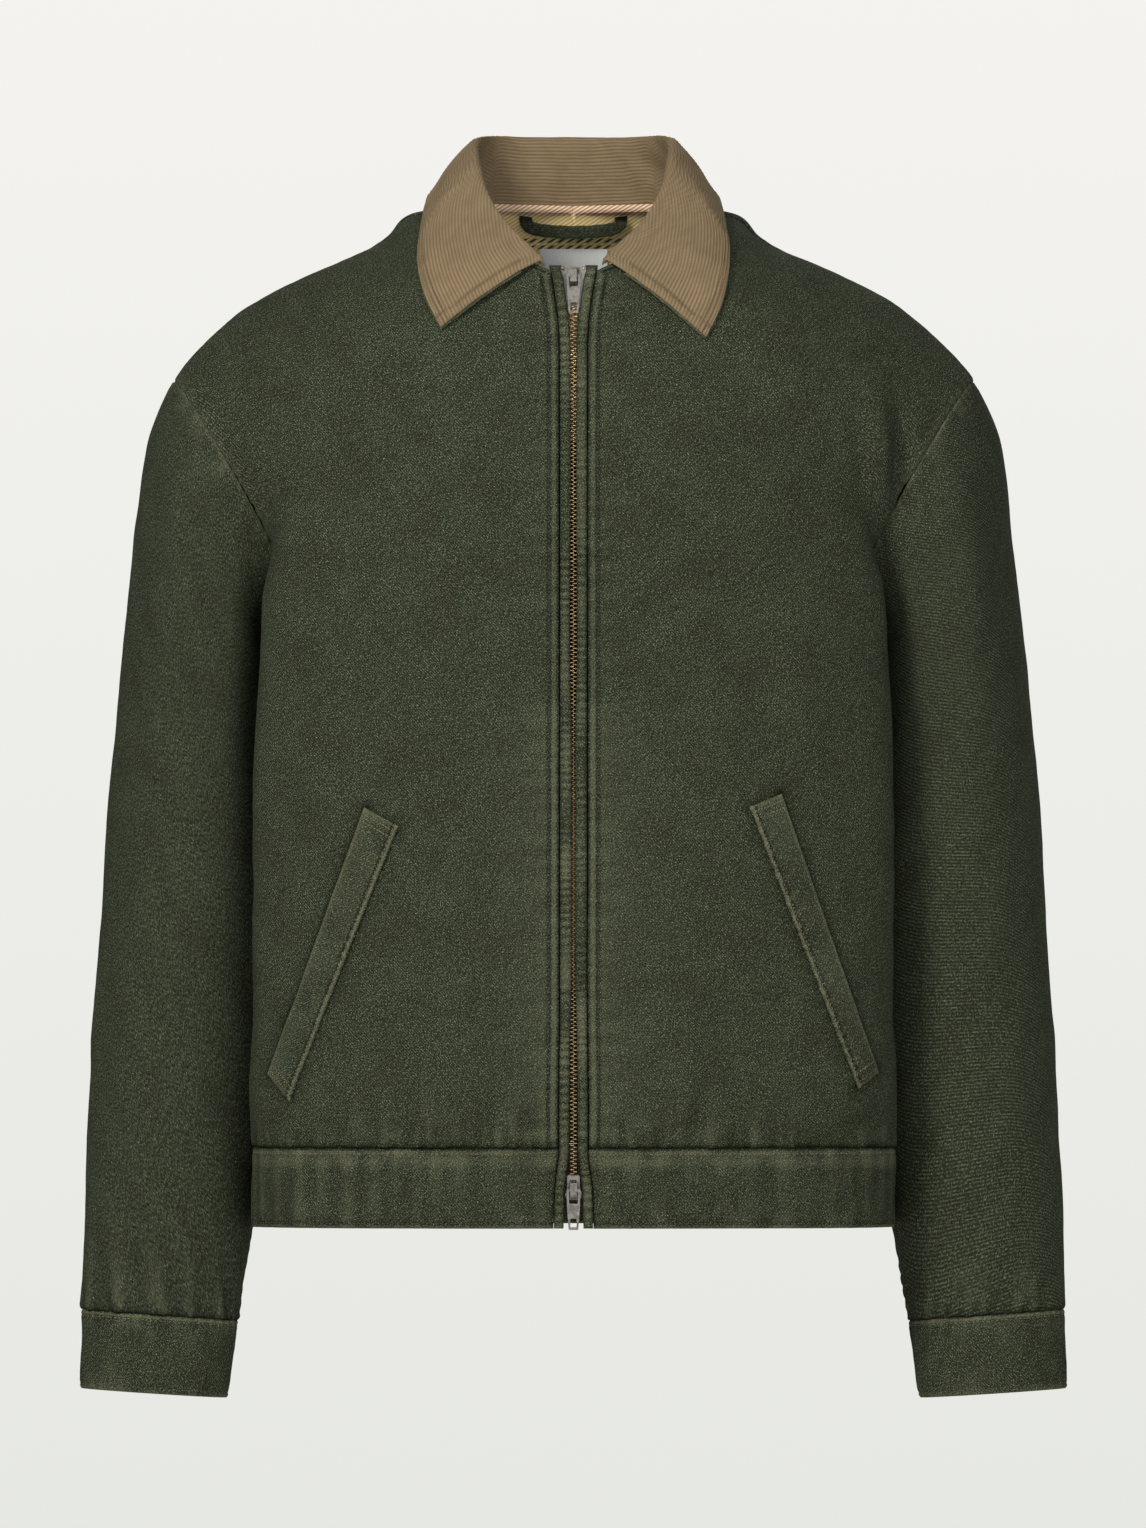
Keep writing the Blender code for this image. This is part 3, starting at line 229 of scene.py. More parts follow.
# creases laid one by one: a path of (x, z) points of the front view, half width and height in mm
Crease = namedtuple("Crease", "path width height")
CREASES = {
    ("front", -1): [
        Crease([(-18, -152), (-34, -158), (-52, -168)], 4.5, 0.7),
        Crease([(-17, -330), (-35, -338), (-60, -332)], 5.0, 0.7),
        Crease([(-20, -352), (-34, -350), (-50, -343)], 4.0, 0.5),
        Crease([(-185, -190), (-150, -225), (-128, -262)], 12.0, 1.4),
        Crease([(-190, -235), (-160, -262), (-148, -300)], 10.0, 1.1),
        Crease([(-182, -300), (-160, -345), (-150, -400)], 13.0, 1.3),
        Crease([(-186, -478), (-168, -500), (-166, -540)], 9.0, 1.2),
        Crease([(-190, -555), (-165, -548), (-140, -560)], 6.0, 1.0),
        Crease([(-120, -562), (-95, -556), (-60, -562)], 6.0, 0.9),
        Crease([(-50, -560), (-32, -548), (-24, -552)], 5.0, 1.1),
        Crease([(-70, -470), (-60, -510), (-66, -556)], 14.0, 1.0),
        Crease([(-110, -210), (-95, -300), (-98, -380)], 20.0, 1.2),
        Crease([(-60, -100), (-70, -150), (-68, -220)], 18.0, 0.9),
    ],
    ("front", 1): [
        Crease([(186, -98), (189, -140), (193, -190)], 7.0, 2.6),
        Crease([(204, -112), (203, -140), (198, -166)], 6.0, -2.4),
        Crease([(20, -455), (34, -462), (44, -470)], 4.0, 0.6),
        Crease([(18, -548), (34, -556), (52, -570)], 4.5, 1.0),
        Crease([(62, -566), (70, -548), (74, -530)], 5.0, 0.9),
        Crease([(98, -568), (104, -545), (106, -520)], 6.0, 0.8),
        Crease([(188, -548), (170, -552), (150, -562)], 6.0, 1.0),
        Crease([(190, -518), (176, -524), (168, -548)], 6.0, 1.2),
        Crease([(150, -200), (140, -290), (146, -350)], 18.0, 1.2),
        Crease([(84, -250), (96, -340), (92, -420)], 22.0, 1.1),
        Crease([(60, -430), (70, -500), (60, -560)], 15.0, 0.9),
    ],
    ("back", -1): [
        Crease([(-20, -560), (-60, -520), (-120, -500)], 14.0, 1.8),
        Crease([(-150, -300), (-110, -330), (-60, -340)], 12.0, 1.5),
        Crease([(-165, -220), (-140, -260), (-120, -330)], 11.0, 1.8),
        Crease([(-178, -180), (-150, -190), (-125, -230)], 9.0, 1.4),
        Crease([(-60, -90), (-75, -160), (-70, -240)], 16.0, 1.0),
        Crease([(-110, -540), (-80, -556), (-40, -548)], 8.0, 1.3),
    ],
    ("back", 1): [
        Crease([(15, -548), (70, -530), (130, -540)], 12.0, 1.6),
        Crease([(160, -280), (120, -320), (75, -325)], 12.0, 1.5),
        Crease([(168, -215), (148, -250), (138, -310)], 10.0, 1.9),
        Crease([(176, -190), (150, -205), (118, -215)], 9.0, 1.2),
        Crease([(60, -80), (66, -150), (58, -220)], 16.0, 1.0),
        Crease([(20, -430), (60, -445), (110, -440)], 14.0, 1.2),
    ],
}


# ================================================================ small mathematics
def spline(knots, values, at):
    """Natural cubic spline through values (n, 3) at the knots, read at each number in at."""
    x = np.asarray(knots, float)
    y = np.asarray(values, float)
    gaps = np.diff(x)
    slopes = np.diff(y, axis=0) / gaps[:, None]
    system = np.eye(len(x))
    right = np.zeros_like(y)
    for i in range(1, len(x) - 1):
        system[i, i - 1:i + 2] = gaps[i - 1], 2 * (gaps[i - 1] + gaps[i]), gaps[i]
        right[i] = 6 * (slopes[i] - slopes[i - 1])
    bend = np.linalg.solve(system, right)
    at = np.atleast_1d(np.asarray(at, float))
    cell = np.clip(np.searchsorted(x, at) - 1, 0, len(gaps) - 1)
    width = gaps[cell][:, None]
    b = (at - x[cell])[:, None] / width
    a = 1 - b
    curve = ((a ** 3 - a) * bend[cell] + (b ** 3 - b) * bend[cell + 1]) * width ** 2 / 6
    return a * y[cell] + b * y[cell + 1] + curve


def smooth_step(value):
    t = min(max(value, 0.0), 1.0)
    return t * t * (3 - 2 * t)


def unit(vectors):
    vectors = np.asarray(vectors, float)
    length = np.linalg.norm(vectors, axis=-1, keepdims=True)
    return vectors / np.maximum(length, 1e-9)


def mirrored(points):
    return np.asarray(points, float) * (-1, 1, 1)


def lengths_along(line):
    """Length from the start of a line to each of its points."""
    return np.concatenate(([0], np.cumsum(np.linalg.norm(np.diff(line, axis=0), axis=1))))


def edge_value(height, column):
    """Half width of the zip's opening at a height, from the table of the front edge."""
    heights = [row.height for row in FRONT_EDGE]
    return float(np.interp(height, heights, [getattr(row, column) for row in FRONT_EDGE]))


# ================================================================ form of the cloth
def ring_points(alongs, angles):
    """Points on the sleeve at lengths in mm and angles in degrees from the crown towards the front."""
    knots = [ring.along for ring in SLEEVE]
    columns = [(*ring.outer, *ring.inner, ring.middle, ring.front, ring.back) for ring in SLEEVE]
    ox, oz, ix, iz, middle, front, back = spline(knots, columns, alongs).T[:, :, None]
    turn = np.radians(np.asarray(angles, float))[None, :]
    share = (1 - np.cos(turn)) / 2
    run_x, run_z = ix - ox, iz - oz
    length = np.hypot(run_x, run_z)
    fade = np.maximum(0, 1 - np.asarray(alongs, float)[:, None] / 120)
    bow = ARMHOLE_BOW * fade * np.maximum(0, np.sin(turn)) * (0.55 + 0.45 * share)
    depth = np.where(np.sin(turn) > 0, front, back)
    return np.stack((ox + run_x * share + run_z / length * bow,
                     middle - depth * np.sin(turn) + 0 * share,
                     oz + run_z * share - run_x / length * bow), -1)


def ring_point(along, angle):
    return ring_points([along], [angle])[0, 0]


def armhole(row, facing):
    """Point on the armhole for a row of the front (facing 1) or of the back (facing -1)."""
    angle = 180 * (1 - (row - UNDERARM) / (ROWS_PER_BODY - UNDERARM))
    return ring_point(0.0, facing * angle)


def column(table, other, name, row):
    """One column of a body table at any row. Past the shoulder seam it goes on into the other table."""
    rows = table
    if name == "centre":
        below = row <= NECK
        rows = [section for section in table if (section.row <= NECK if below else section.row >= NECK)]
    knots = [section.row for section in rows]
    points = [getattr(section, name) for section in rows]
    if name != "centre" or row > NECK:
        knots += [2 * ROWS_PER_BODY - section.row for section in other[-2:-4:-1]]
        points += [getattr(section, name) for section in other[-2:-4:-1]]
    return spline(knots, points, row)[0]


def side_point(row, facing):
    if row >= UNDERARM:
        return armhole(row, facing)
    return spline([knot for knot, _ in SIDE_SEAM], [point for _, point in SIDE_SEAM], row)[0]


def body_row(row, facing, shares):
    """Points across a front (facing 1) or half the back (facing -1) at a row, at shares from 0 to 1."""
    table, other = (FRONT, BACK) if facing > 0 else (BACK, FRONT)
    centre, mid, turn, flank, tuck = (column(table, other, name, row) for name in Section._fields[1:])
    if facing > 0 and row <= NECK:
        centre[0] = edge_value(centre[2], "ditch")
    side = side_point(row, facing)
    past_seam = column(other, table, "tuck", row)
    if row > UNDERARM:
        angle = facing * 180 * (1 - (row - UNDERARM) / (ROWS_PER_BODY - UNDERARM))
        past_seam = past_seam + (ring_point(36, angle) - past_seam) * smooth_step((row - UNDERARM) / 6)
    knots = (-COLUMN_KNOTS[1], *COLUMN_KNOTS, 2 - COLUMN_KNOTS[4])
    points = spline(knots, (mirrored(mid), centre, mid, turn, flank, tuck, side, past_seam), shares)
    fullness = BLOUSE * math.sin(math.pi * min(max(row / 2.5, 0.0), 1.0))
    outward = unit(points * (1, 1, 0)) * fullness
    return points + outward * (1 - np.asarray(shares)[:, None] ** 3)


def neckline(along):
    """Point on the neckline of the +X half: 0 at the middle of the back, 1 at the zip."""
    if along <= 0.5:
        return column(BACK, FRONT, "centre", NECK + along * 2 * (ROWS_PER_BODY - NECK))
    point = column(FRONT, BACK, "centre", NECK + (1 - along) * 2 * (ROWS_PER_BODY - NECK))
    point[0] = max(point[0], edge_value(point[2], "ditch"))
    return point


def collar_section(along, tree, drop):
    """Visible face of the collar at a station: up the stand, over the fold and down the fall."""
    knots = [-COLLAR[1].along] + [station.along for station in COLLAR]
    table = [np.concatenate((station.roll, station.edge)) for station in COLLAR]
    table = [table[1] * (-1, 1, 1, -1, 1, 1)] + table
    roll, edge = np.split(spline(knots, table, along)[0], 2)
    edge[2] -= drop * smooth_step(along * 2 - 1)
    seam = neckline(min(along, COLLAR_START))
    seam = seam - unit(seam * (1, 1, 0)) + (0, 0, SEAM_RISE)
    if edge[1] < 0:
        place, normal = front_hit(tree, edge[0], edge[2])
    else:
        place, normal, _, _ = (np.array(value) for value in tree.find_nearest(Vector(edge)))
    edge = place + normal * (CORD_WALL + SEAM_GAP + UNDER_WALL + COLLAR_CLEAR)
    up = unit(roll - seam)
    end = roll
    for _ in range(3):
        down = unit(edge - end)
        out = unit(down - np.dot(down, up) * up)
        centre = roll + (out - up) * FOLD_RADIUS
        sweep = math.pi - math.acos(float(np.clip(np.dot(down, -up), -1, 1)))
        end = centre - FOLD_RADIUS * (out * math.cos(sweep) - up * math.sin(sweep))
    start = roll - up * FOLD_RADIUS
    points = [seam + (start - seam) * i / STAND_STEPS for i in range(STAND_STEPS)]
    for i in range(FOLD_STEPS):
        angle = sweep * i / FOLD_STEPS
        points.append(centre - FOLD_RADIUS * (out * math.cos(angle) - up * math.sin(angle)))
    crown = unit(up - np.dot(up, down) * down) * FALL_CROWN
    for i in range(FALL_STEPS + 1):
        share = i / FALL_STEPS
        points.append(end + (edge - end) * share + crown * math.sin(math.pi * share))
    return np.array(points)


# ================================================================ looking up the made cloth
def height_over(tree, point):
    """Signed distance of a point outside the cloth, and the cloth's normal there."""
    place, normal, _, _ = tree.find_nearest(Vector(point))
    away = Vector(point) - place
    return (away.length if away.dot(normal) >= 0 else -away.length), np.array(normal)


def lifted(points, tree, clearance, rounds=8, steps=4):
    """Move a grid out of the cloth until samples all over its cells clear it."""
    points = points.copy()
    rows, across = points.shape[:2]
    samples = []
    for i, j, down, over in np.ndindex(rows, across, steps, steps):
        corners = {}
        for a, b in np.ndindex(2, 2):
            share = abs(1 - a - down / steps) * abs(1 - b - over / steps)
            if share > 0:
                corners[i + a, j + b] = share
        if all(row < rows and place < across for row, place in corners):
            samples.append(corners)
    for _ in range(rounds):
        push = np.zeros_like(points)
        size = np.zeros((rows, across))
        for corners in samples:
            middle = sum(points[corner] * share for corner, share in corners.items())
            height, normal = height_over(tree, middle)
            need = clearance - height
            for corner in corners:
                if need > size[corner]:
                    size[corner] = need
                    push[corner] = normal * need
        if size.max() < 0.02:
            break
        points += push
    return points


def front_hit(tree, x, z):
    """Point and normal of the cloth's front at a place in the front view."""
    place, normal, _, _ = tree.ray_cast(Vector((x, OUTSIDE, z)), Vector((0, 1, 0)))
    return np.array(place), np.array(normal)


# ================================================================ relief of the cloth
def grid_normals(points, flip):
    """Normals of a grid of points that face out of the garment."""
    normals = unit(np.cross(np.gradient(points, axis=1), np.gradient(points, axis=0)))
    return -normals if flip else normals


def edge_distance(points):
    """Distance in mm of every grid point from the first row, last row, first column and last column."""
    down = np.linalg.norm(np.diff(points, axis=0), axis=2)
    over = np.linalg.norm(np.diff(points, axis=1), axis=2)
    first_row = np.vstack((np.zeros(points.shape[1]), np.cumsum(down, 0)))
    first_column = np.hstack((np.zeros((points.shape[0], 1)), np.cumsum(over, 1)))
    return first_row, first_row[-1] - first_row, first_column, first_column[:, -1:] - first_column


def turned_in(distance, reach=3.0, depth=1.3):
    """Cloth rolling in towards a seam or an edge."""
    return -depth * np.clip(1 - distance / reach, 0, 1) ** 2


def ridge_line(distance, at, half_width):
    return np.exp(-((distance - at) / half_width) ** 2)


@functools.lru_cache(maxsize=None)
def lattice(seed, size=257):
    return np.random.default_rng(seed).uniform(-1, 1, (size, size))


def noise(u, v, wave, seed):
    """Smooth uneven relief from -1 to 1 with features about one wave apart."""
    table = lattice(seed)
    size = table.shape[0]
    x, y = u / wave + 91.3, v / wave + 57.7
    i, j = np.floor(x).astype(int), np.floor(y).astype(int)
    fx, fy = x - i, y - j
    fx, fy = fx * fx * (3 - 2 * fx), fy * fy * (3 - 2 * fy)
    low = table[i % size, j % size] * (1 - fx) + table[(i + 1) % size, j % size] * fx
    high = table[i % size, (j + 1) % size] * (1 - fx) + table[(i + 1) % size, (j + 1) % size] * fx
    return low * (1 - fy) + high * fy


def puckers(run, distance, pitch, reach, height, seed, slant=0.0):
    """Short ridges across a seam, for a run along it and a distance from it in mm."""
    moved = run + slant * distance
    still = 0 * distance
    phase = moved / pitch + 0.9 * noise(moved, still, pitch * 3, seed)
    strength = 0.55 + 0.45 * noise(moved, still, pitch * 2.2, seed + 1)
    length = reach * (0.75 + 0.4 * noise(moved, still, pitch * 1.4, seed + 2))
    return height * strength * np.clip(1 - distance / length, 0, 1) ** 1.3 * np.cos(2 * math.pi * phase)


def crease_relief(creases, across, height):
    """Sum of listed creases over points given by two coordinates in mm."""
    relief = np.zeros_like(across)
    for crease in creases:
        ends = len(crease.path) - 1
        path = spline(range(ends + 1), crease.path, np.linspace(0, ends, 13))
        best, share = np.full(across.shape, math.inf), np.zeros(across.shape)
        for i, (start, run) in enumerate(zip(path[:-1], np.diff(path, axis=0))):
            ahead = (across - start[0]) * run[0] + (height - start[1]) * run[1]
            t = np.clip(ahead / (run @ run), 0, 1)
            off = np.hypot(across - start[0] - run[0] * t, height - start[1] - run[1] * t)
            share = np.where(off < best, (i + t) / (len(path) - 1), share)
            best = np.minimum(off, best)
        along = np.sin(math.pi * np.clip(share, 0.02, 0.98)) ** 0.7
        foot = ridge_line(best, 1.7 * crease.width, crease.width)
        relief += crease.height * along * (np.exp(-(best / crease.width) ** 2) - 0.35 * foot)
    return relief


def sleeve_folds(side, lengths, angles):
    """Relief of the standing folds of a sleeve at its lengths and angles."""
    relief = np.zeros((len(lengths), len(angles)))
    for fold in FOLDS:
        if fold.side == side:
            off = (np.mod(np.asarray(angles) - fold.angle + 180, 360) - 180) / fold.half_width
            run = np.clip((np.asarray(lengths) - fold.start) / (fold.end - fold.start), 0, 1)
            relief += fold.height * np.sin(math.pi * run)[:, None] ** 0.7 * np.exp(-off * off)
    return relief


def welt_surround(side, x, z, seed):
    """Relief and painted shadow of the front round its welt: drawn-in seam, slanted puckers, painted shadow
    along the joint.
    """
    welt = WELTS[0] if side < 0 else WELTS[1]
    corners = [welt.top_outer, welt.top_inner, welt.low_inner, welt.low_outer]
    outline = np.array([corners[i % 4] for i in range(5)]) * (side, 1)
    relief, shade = np.zeros_like(x), np.zeros_like(x)
    for i, (start, run) in enumerate(zip(outline[:-1], np.diff(outline, axis=0))):
        length = np.linalg.norm(run)
        t = ((x - start[0]) * run[0] + (z - start[1]) * run[1]) / length
        off = np.abs((x - start[0]) * run[1] - (z - start[1]) * run[0]) / length
        beyond = np.hypot(off, np.maximum(0, np.maximum(-t, t - length)))
        # Painted shadow round the welt, deepest along its outer side.
        shade -= (0.8 if i == 3 else 0.45) * np.exp(-beyond / (2.2 if i == 3 else 1.5))
        relief -= 0.5 * np.exp(-(beyond / 5) ** 2)
        if i == 1:
            slant = 0.9 if side > 0 else -0.5
            relief += puckers(t, beyond, 10 if side > 0 else 8, 26, 1.0, seed, slant)
    return relief, np.clip(shade, -1, 0)


# ================================================================ the jacket's cloth, worked out once
Part = namedtuple("Part", "key side points normals flat edges flip")
# offset: relief along the normals; slack: the part of it that the wall's inner face follows;
# last field, wear and painted shade: from -1 where shade is painted dark into seams, stitch grooves and
# hollows to 1 where the cloth is rubbed pale
Relief = namedtuple("Relief", "offset slack wear")


def fine_steps(first, last, inner, count):
    """Numbers from first to last, close together near both ends and even between them."""
    close = np.array((0, 0.2, 0.45, 0.72)) * inner
    even = np.linspace(first + inner, last - inner, count)
    return np.concatenate((first + close, even, last - close[::-1]))


class Form:
    """Smooth form and relief of the outer cloth, shared by all the pieces."""

    def __init__(self):
        low = np.concatenate(((0, 0.02, 0.05, 0.09), np.linspace(0.13, 1, 10)))
        self.rows = np.concatenate((low, np.linspace(1, NECK, 148)[1:], np.linspace(NECK, 19.9, 40)[1:],
                                    (19.94, 19.97, 20)))
        self.sewn = len(low) + 147
        near = np.concatenate(((0, 0.004, 0.009, 0.015), np.linspace(0.02, 0.1, 18)))
        self.shares = np.concatenate((near, np.linspace(0.1, 0.985, 114)[1:], (0.99, 0.994, 0.997, 1)))
        band_rows = fine_steps(HEM, 0, 0.1, 23)
        angles = fine_steps(-180, 180, 2.2, 187)
        self.parts = {}
        for facing, key in ((1, "front"), (-1, "back")):
            panel = np.array([body_row(row, facing, self.shares) for row in self.rows])
            band = np.array([body_row(row, facing, self.shares) for row in band_rows])
            for side, _ in SIDES:
                self.add(key, side, panel, (facing < 0) != (side < 0))
                self.add(f"{key}_band", side, band, (facing < 0) != (side < 0))
        for key, start, end, count in (("sleeve", 0, CUFF_SEAM, 205), ("cuff", CUFF_SEAM, CUFF_END, 20)):
            lengths = fine_steps(start, end, 3, count)
            plain = ring_points(lengths, angles)
            middle = sum(points.mean(axis=1, keepdims=True) for points in (plain[:, :-1], plain[:, 1:])) / 2
            for side, _ in SIDES:
                lift = sleeve_folds(side, lengths, angles)
                self.add(key, side, plain + unit(plain - middle) * lift[..., None], side < 0)
        self.relief = {place: self.lay(part) for place, part in self.parts.items()}
        self.made = self.raised("offset")
        self.tree = self.search_tree(self.made)
        self.smooth_tree = self.search_tree(self.raised("slack"))

    def add(self, key, side, points, flip):
        if side < 0:
            points = mirrored(points)
        normals = grid_normals(points, flip)
        if key.startswith("back"):
            normals[:self.sewn, 0, 0] = 0
            normals = unit(normals)
        edges = edge_distance(points)
        level = unit(np.gradient(points, axis=1) * (1, 1, 0))
        sign = -1 if flip else 1
        if key in ("sleeve", "cuff"):
            crown = points.shape[1] // 2
            flat = np.stack((-sign * (edges[2] - edges[2][:, crown:crown + 1]), -edges[0]), -1)
        else:
            over, up = np.diff(points, axis=1), np.diff(points, axis=0)
            sideways = (up * level[1:]).sum(-1)
            start = np.concatenate(([0], np.cumsum(sideways[:, 0])))
            run = np.hypot(over[..., 0], over[..., 1])
            across = start[:, None] + np.hstack((np.zeros((len(points), 1)), np.cumsum(run, 1)))
            climb = np.sqrt(np.maximum((up * up).sum(-1) - sideways ** 2, 0))
            climb = np.vstack((np.zeros(points.shape[1]), np.cumsum(climb, 0)))
            flat = np.stack((sign * across, climb + points[0, 0, 2]), -1)
        self.parts[key, side] = Part(key, side, points, normals, flat, edges, flip)

    def lay(self, part):
        """Creases, puckers, wear and painted shade of one part."""
        u, v = part.flat[..., 0], part.flat[..., 1]
        first, last, inner, outer = part.edges
        sides = np.minimum(inner, outer)
        seed = 10 * list(self.parts).index((part.key, part.side)) + 3
        slack = 0.9 * noise(u, v, 60, seed) + 0.55 * noise(u, v, 21, seed + 1)
        wear = 0.3 * noise(u, v, 9, seed + 2) * np.exp(-np.minimum(first, last) / 14)
        x, z = part.points[..., 0], part.points[..., 2]
        if (part.key, part.side) in CREASES:
            slack += 1.6 * crease_relief(CREASES[part.key, part.side], x, z)
        offset = slack + (0.07 if part.key == "sleeve" else 0.14) * noise(u, v, 5, seed + 8)
        if part.key in ("front", "back"):
            offset += puckers(u, first, 9, 30, 1.1, seed + 3) + puckers(u, first, 23, 60, 0.9, seed + 9)
            offset += puckers(v, outer, 9, 18, 0.7, seed + 4) * (v > -300)
            offset += puckers(v, outer, 21, 30, 1.0, seed + 9) * (v < -300)
            # Paler where the side edge is rubbed; darker along the waistband seam as painted shade in its
            # ditch.
            wear += 0.55 * np.exp(-outer / 2) - 0.9 * np.exp(-first / 1.8)
        if part.key == "front":
            offset += puckers(z, np.maximum(inner - 3, 0), 5.2, 11, 0.55, seed + 5)
            offset += puckers(z, np.maximum(inner - 7, 0), 13, 34, 0.6, seed + 10)
            offset += 0.5 * np.clip(1 - inner / 15, 0, 1) - 0.6 * ridge_line(inner, TOPSTITCH, 0.9)
            # Pale rubbed ridge between edge and stitching, paler lower front edge; painted shade in the
            # stitch groove and in the ditch at the front edge.
            wear += 0.35 * ridge_line(inner, TOPSTITCH - 3.4, 2.2) - 0.8 * ridge_line(inner, TOPSTITCH, 1.0)
            wear += 0.25 * np.exp(-inner / 20) * (z < -300) - 0.9 * np.exp(-inner / 1.6)
            relief, shade = welt_surround(part.side, x, z, seed + 11)
            offset += relief
            # The welt's painted shadow darkens the cloth round it.
            wear += shade
        if part.key.endswith("_band"):
            slant = 0.9 if part.key == "front_band" and part.side > 0 else 0.15
            strength = 0.7 + 0.3 * noise(u, v, 30, seed)
            offset += puckers(u, 0 * u, 16, 60, 0.8, seed + 3, slant) * strength
            offset += puckers(u, last, 8, 14, 0.7, seed + 6) + puckers(u, first, 6, 9, 0.5, seed + 7)
            offset -= 0.5 * ridge_line(first, HEM_STITCH, 0.9) + 0.6 * ridge_line(last, SEAM_STITCH, 0.9)
            # Paler at the rubbed hem and on the ridges near the seam; painted shade right at the seam and
            # in the hem's stitch groove.
            wear += (0.8 * np.exp(-first / 1.6) - 0.9 * np.exp(-last / 0.9)
                     + 0.5 * ridge_line(last, 2.4, 1.2))
            wear += 0.3 * ridge_line(last, 8, 4) - 0.5 * ridge_line(first, HEM_STITCH, 0.9)
        if part.key == "sleeve":
            offset += puckers(u, first, 8, 17, 0.65, seed + 3) + puckers(u, last, 11, 34, 1.2, seed + 4)
            offset += puckers(u, last, 27, 80, 1.2, seed + 6) + puckers(v, sides, 9, 16, 0.7, seed + 5)
            offset -= 0.5 * ridge_line(first, ARMHOLE_STITCH, 0.9)
            # Paler where the armhole seam is rubbed; painted shade along the cuff seam.
            wear += 0.75 * np.exp(-first / 1.6) - 0.8 * np.exp(-last / 1.8)
        if part.key == "cuff":
            offset += puckers(u, first, 7, 20, 0.8, seed + 3) + puckers(u, last, 6.5, 12, 0.5, seed + 4)
            offset -= 0.5 * ridge_line(first, SEAM_STITCH, 0.9) + 0.5 * ridge_line(last, HEM_STITCH, 0.9)
            # Paler on the rubbed seam ridge and hem edge; painted shade in the stitch groove.
            wear += (0.7 * ridge_line(first, 1.6, 1.3) + 0.8 * np.exp(-last / 1.6)
                     - 0.4 * ridge_line(first, 3.6, 0.8))
        edge = np.minimum(first, last)
        if part.key == "back":
            edge = np.minimum(edge, np.where(np.arange(len(u))[:, None] < self.sewn, FAR, inner))
        elif part.key != "back_band":
            edge = np.minimum(edge, inner)
        offset += turned_in(np.minimum(edge, outer))
        # Ridges of creases and puckers paler where rubbed; their hollows darker as painted shade.
        wear = np.clip(wear + 0.2 * np.clip((offset - slack) / 0.9, -1, 1), -1, 1)
        return Relief(offset, slack, wear)

    def raised(self, layer):
        """Points of every part, moved out by one layer of its relief."""
        return {place: part.points + part.normals * getattr(self.relief[place], layer)[..., None]
                for place, part in self.parts.items()}

    def search_tree(self, surfaces):
        """Faces of the fronts, back and waistband, for finding places on them."""
        vertices, faces = [], []
        for (key, side), points in surfaces.items():
            if key not in ("cuff", "sleeve"):
                faces += grid_quads(len(vertices) + numbered(points), self.parts[key, side].flip)
                vertices += points.reshape(-1, 3).tolist()
        return BVHTree.FromPolygons(vertices, faces)


@functools.lru_cache(maxsize=None)
def form():
    return Form()


# ================================================================ meshes
def numbered(grid):
    """Numbers from 0 for the points of a grid."""
    return np.arange(grid.shape[0] * grid.shape[1]).reshape(grid.shape[:2])


def grid_quads(ids, flip=False):
    quads = np.stack((ids[:-1, :-1], ids[:-1, 1:], ids[1:, 1:], ids[1:, :-1]), -1).reshape(-1, 4)
    return (quads[:, ::-1] if flip else quads).tolist()


def end_caps(ids):
    """Faces that close the first and the last ring of a tube."""
    return [ids[0, :-1].tolist(), ids[-1, :-1][::-1].tolist()]


def add_piece(name, vertices, faces, flat=None, wear=None):
    """Mesh object from points in mm, with every point's place on the cut cloth in mm and its wear and
    painted shade.
    """
    mesh = bpy.data.meshes.new(name)
    mesh.from_pydata((np.asarray(vertices) * MM).tolist(), [], faces)
    mesh.shade_smooth()
    if flat is not None:
        corner = np.empty(len(mesh.loops), dtype=np.int32)
        mesh.loops.foreach_get("vertex_index", corner)
        layer = mesh.uv_layers.new(name="flat")
        layer.data.foreach_set("uv", (np.asarray(flat)[corner] * MM).astype(np.float32).ravel())
        attribute = mesh.attributes.new("wear", "FLOAT", "POINT")
        attribute.data.foreach_set("value", np.asarray(wear, dtype=np.float32))
    piece = bpy.data.objects.new(name, mesh)
    bpy.context.scene.collection.objects.link(piece)
    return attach(piece, BODY)


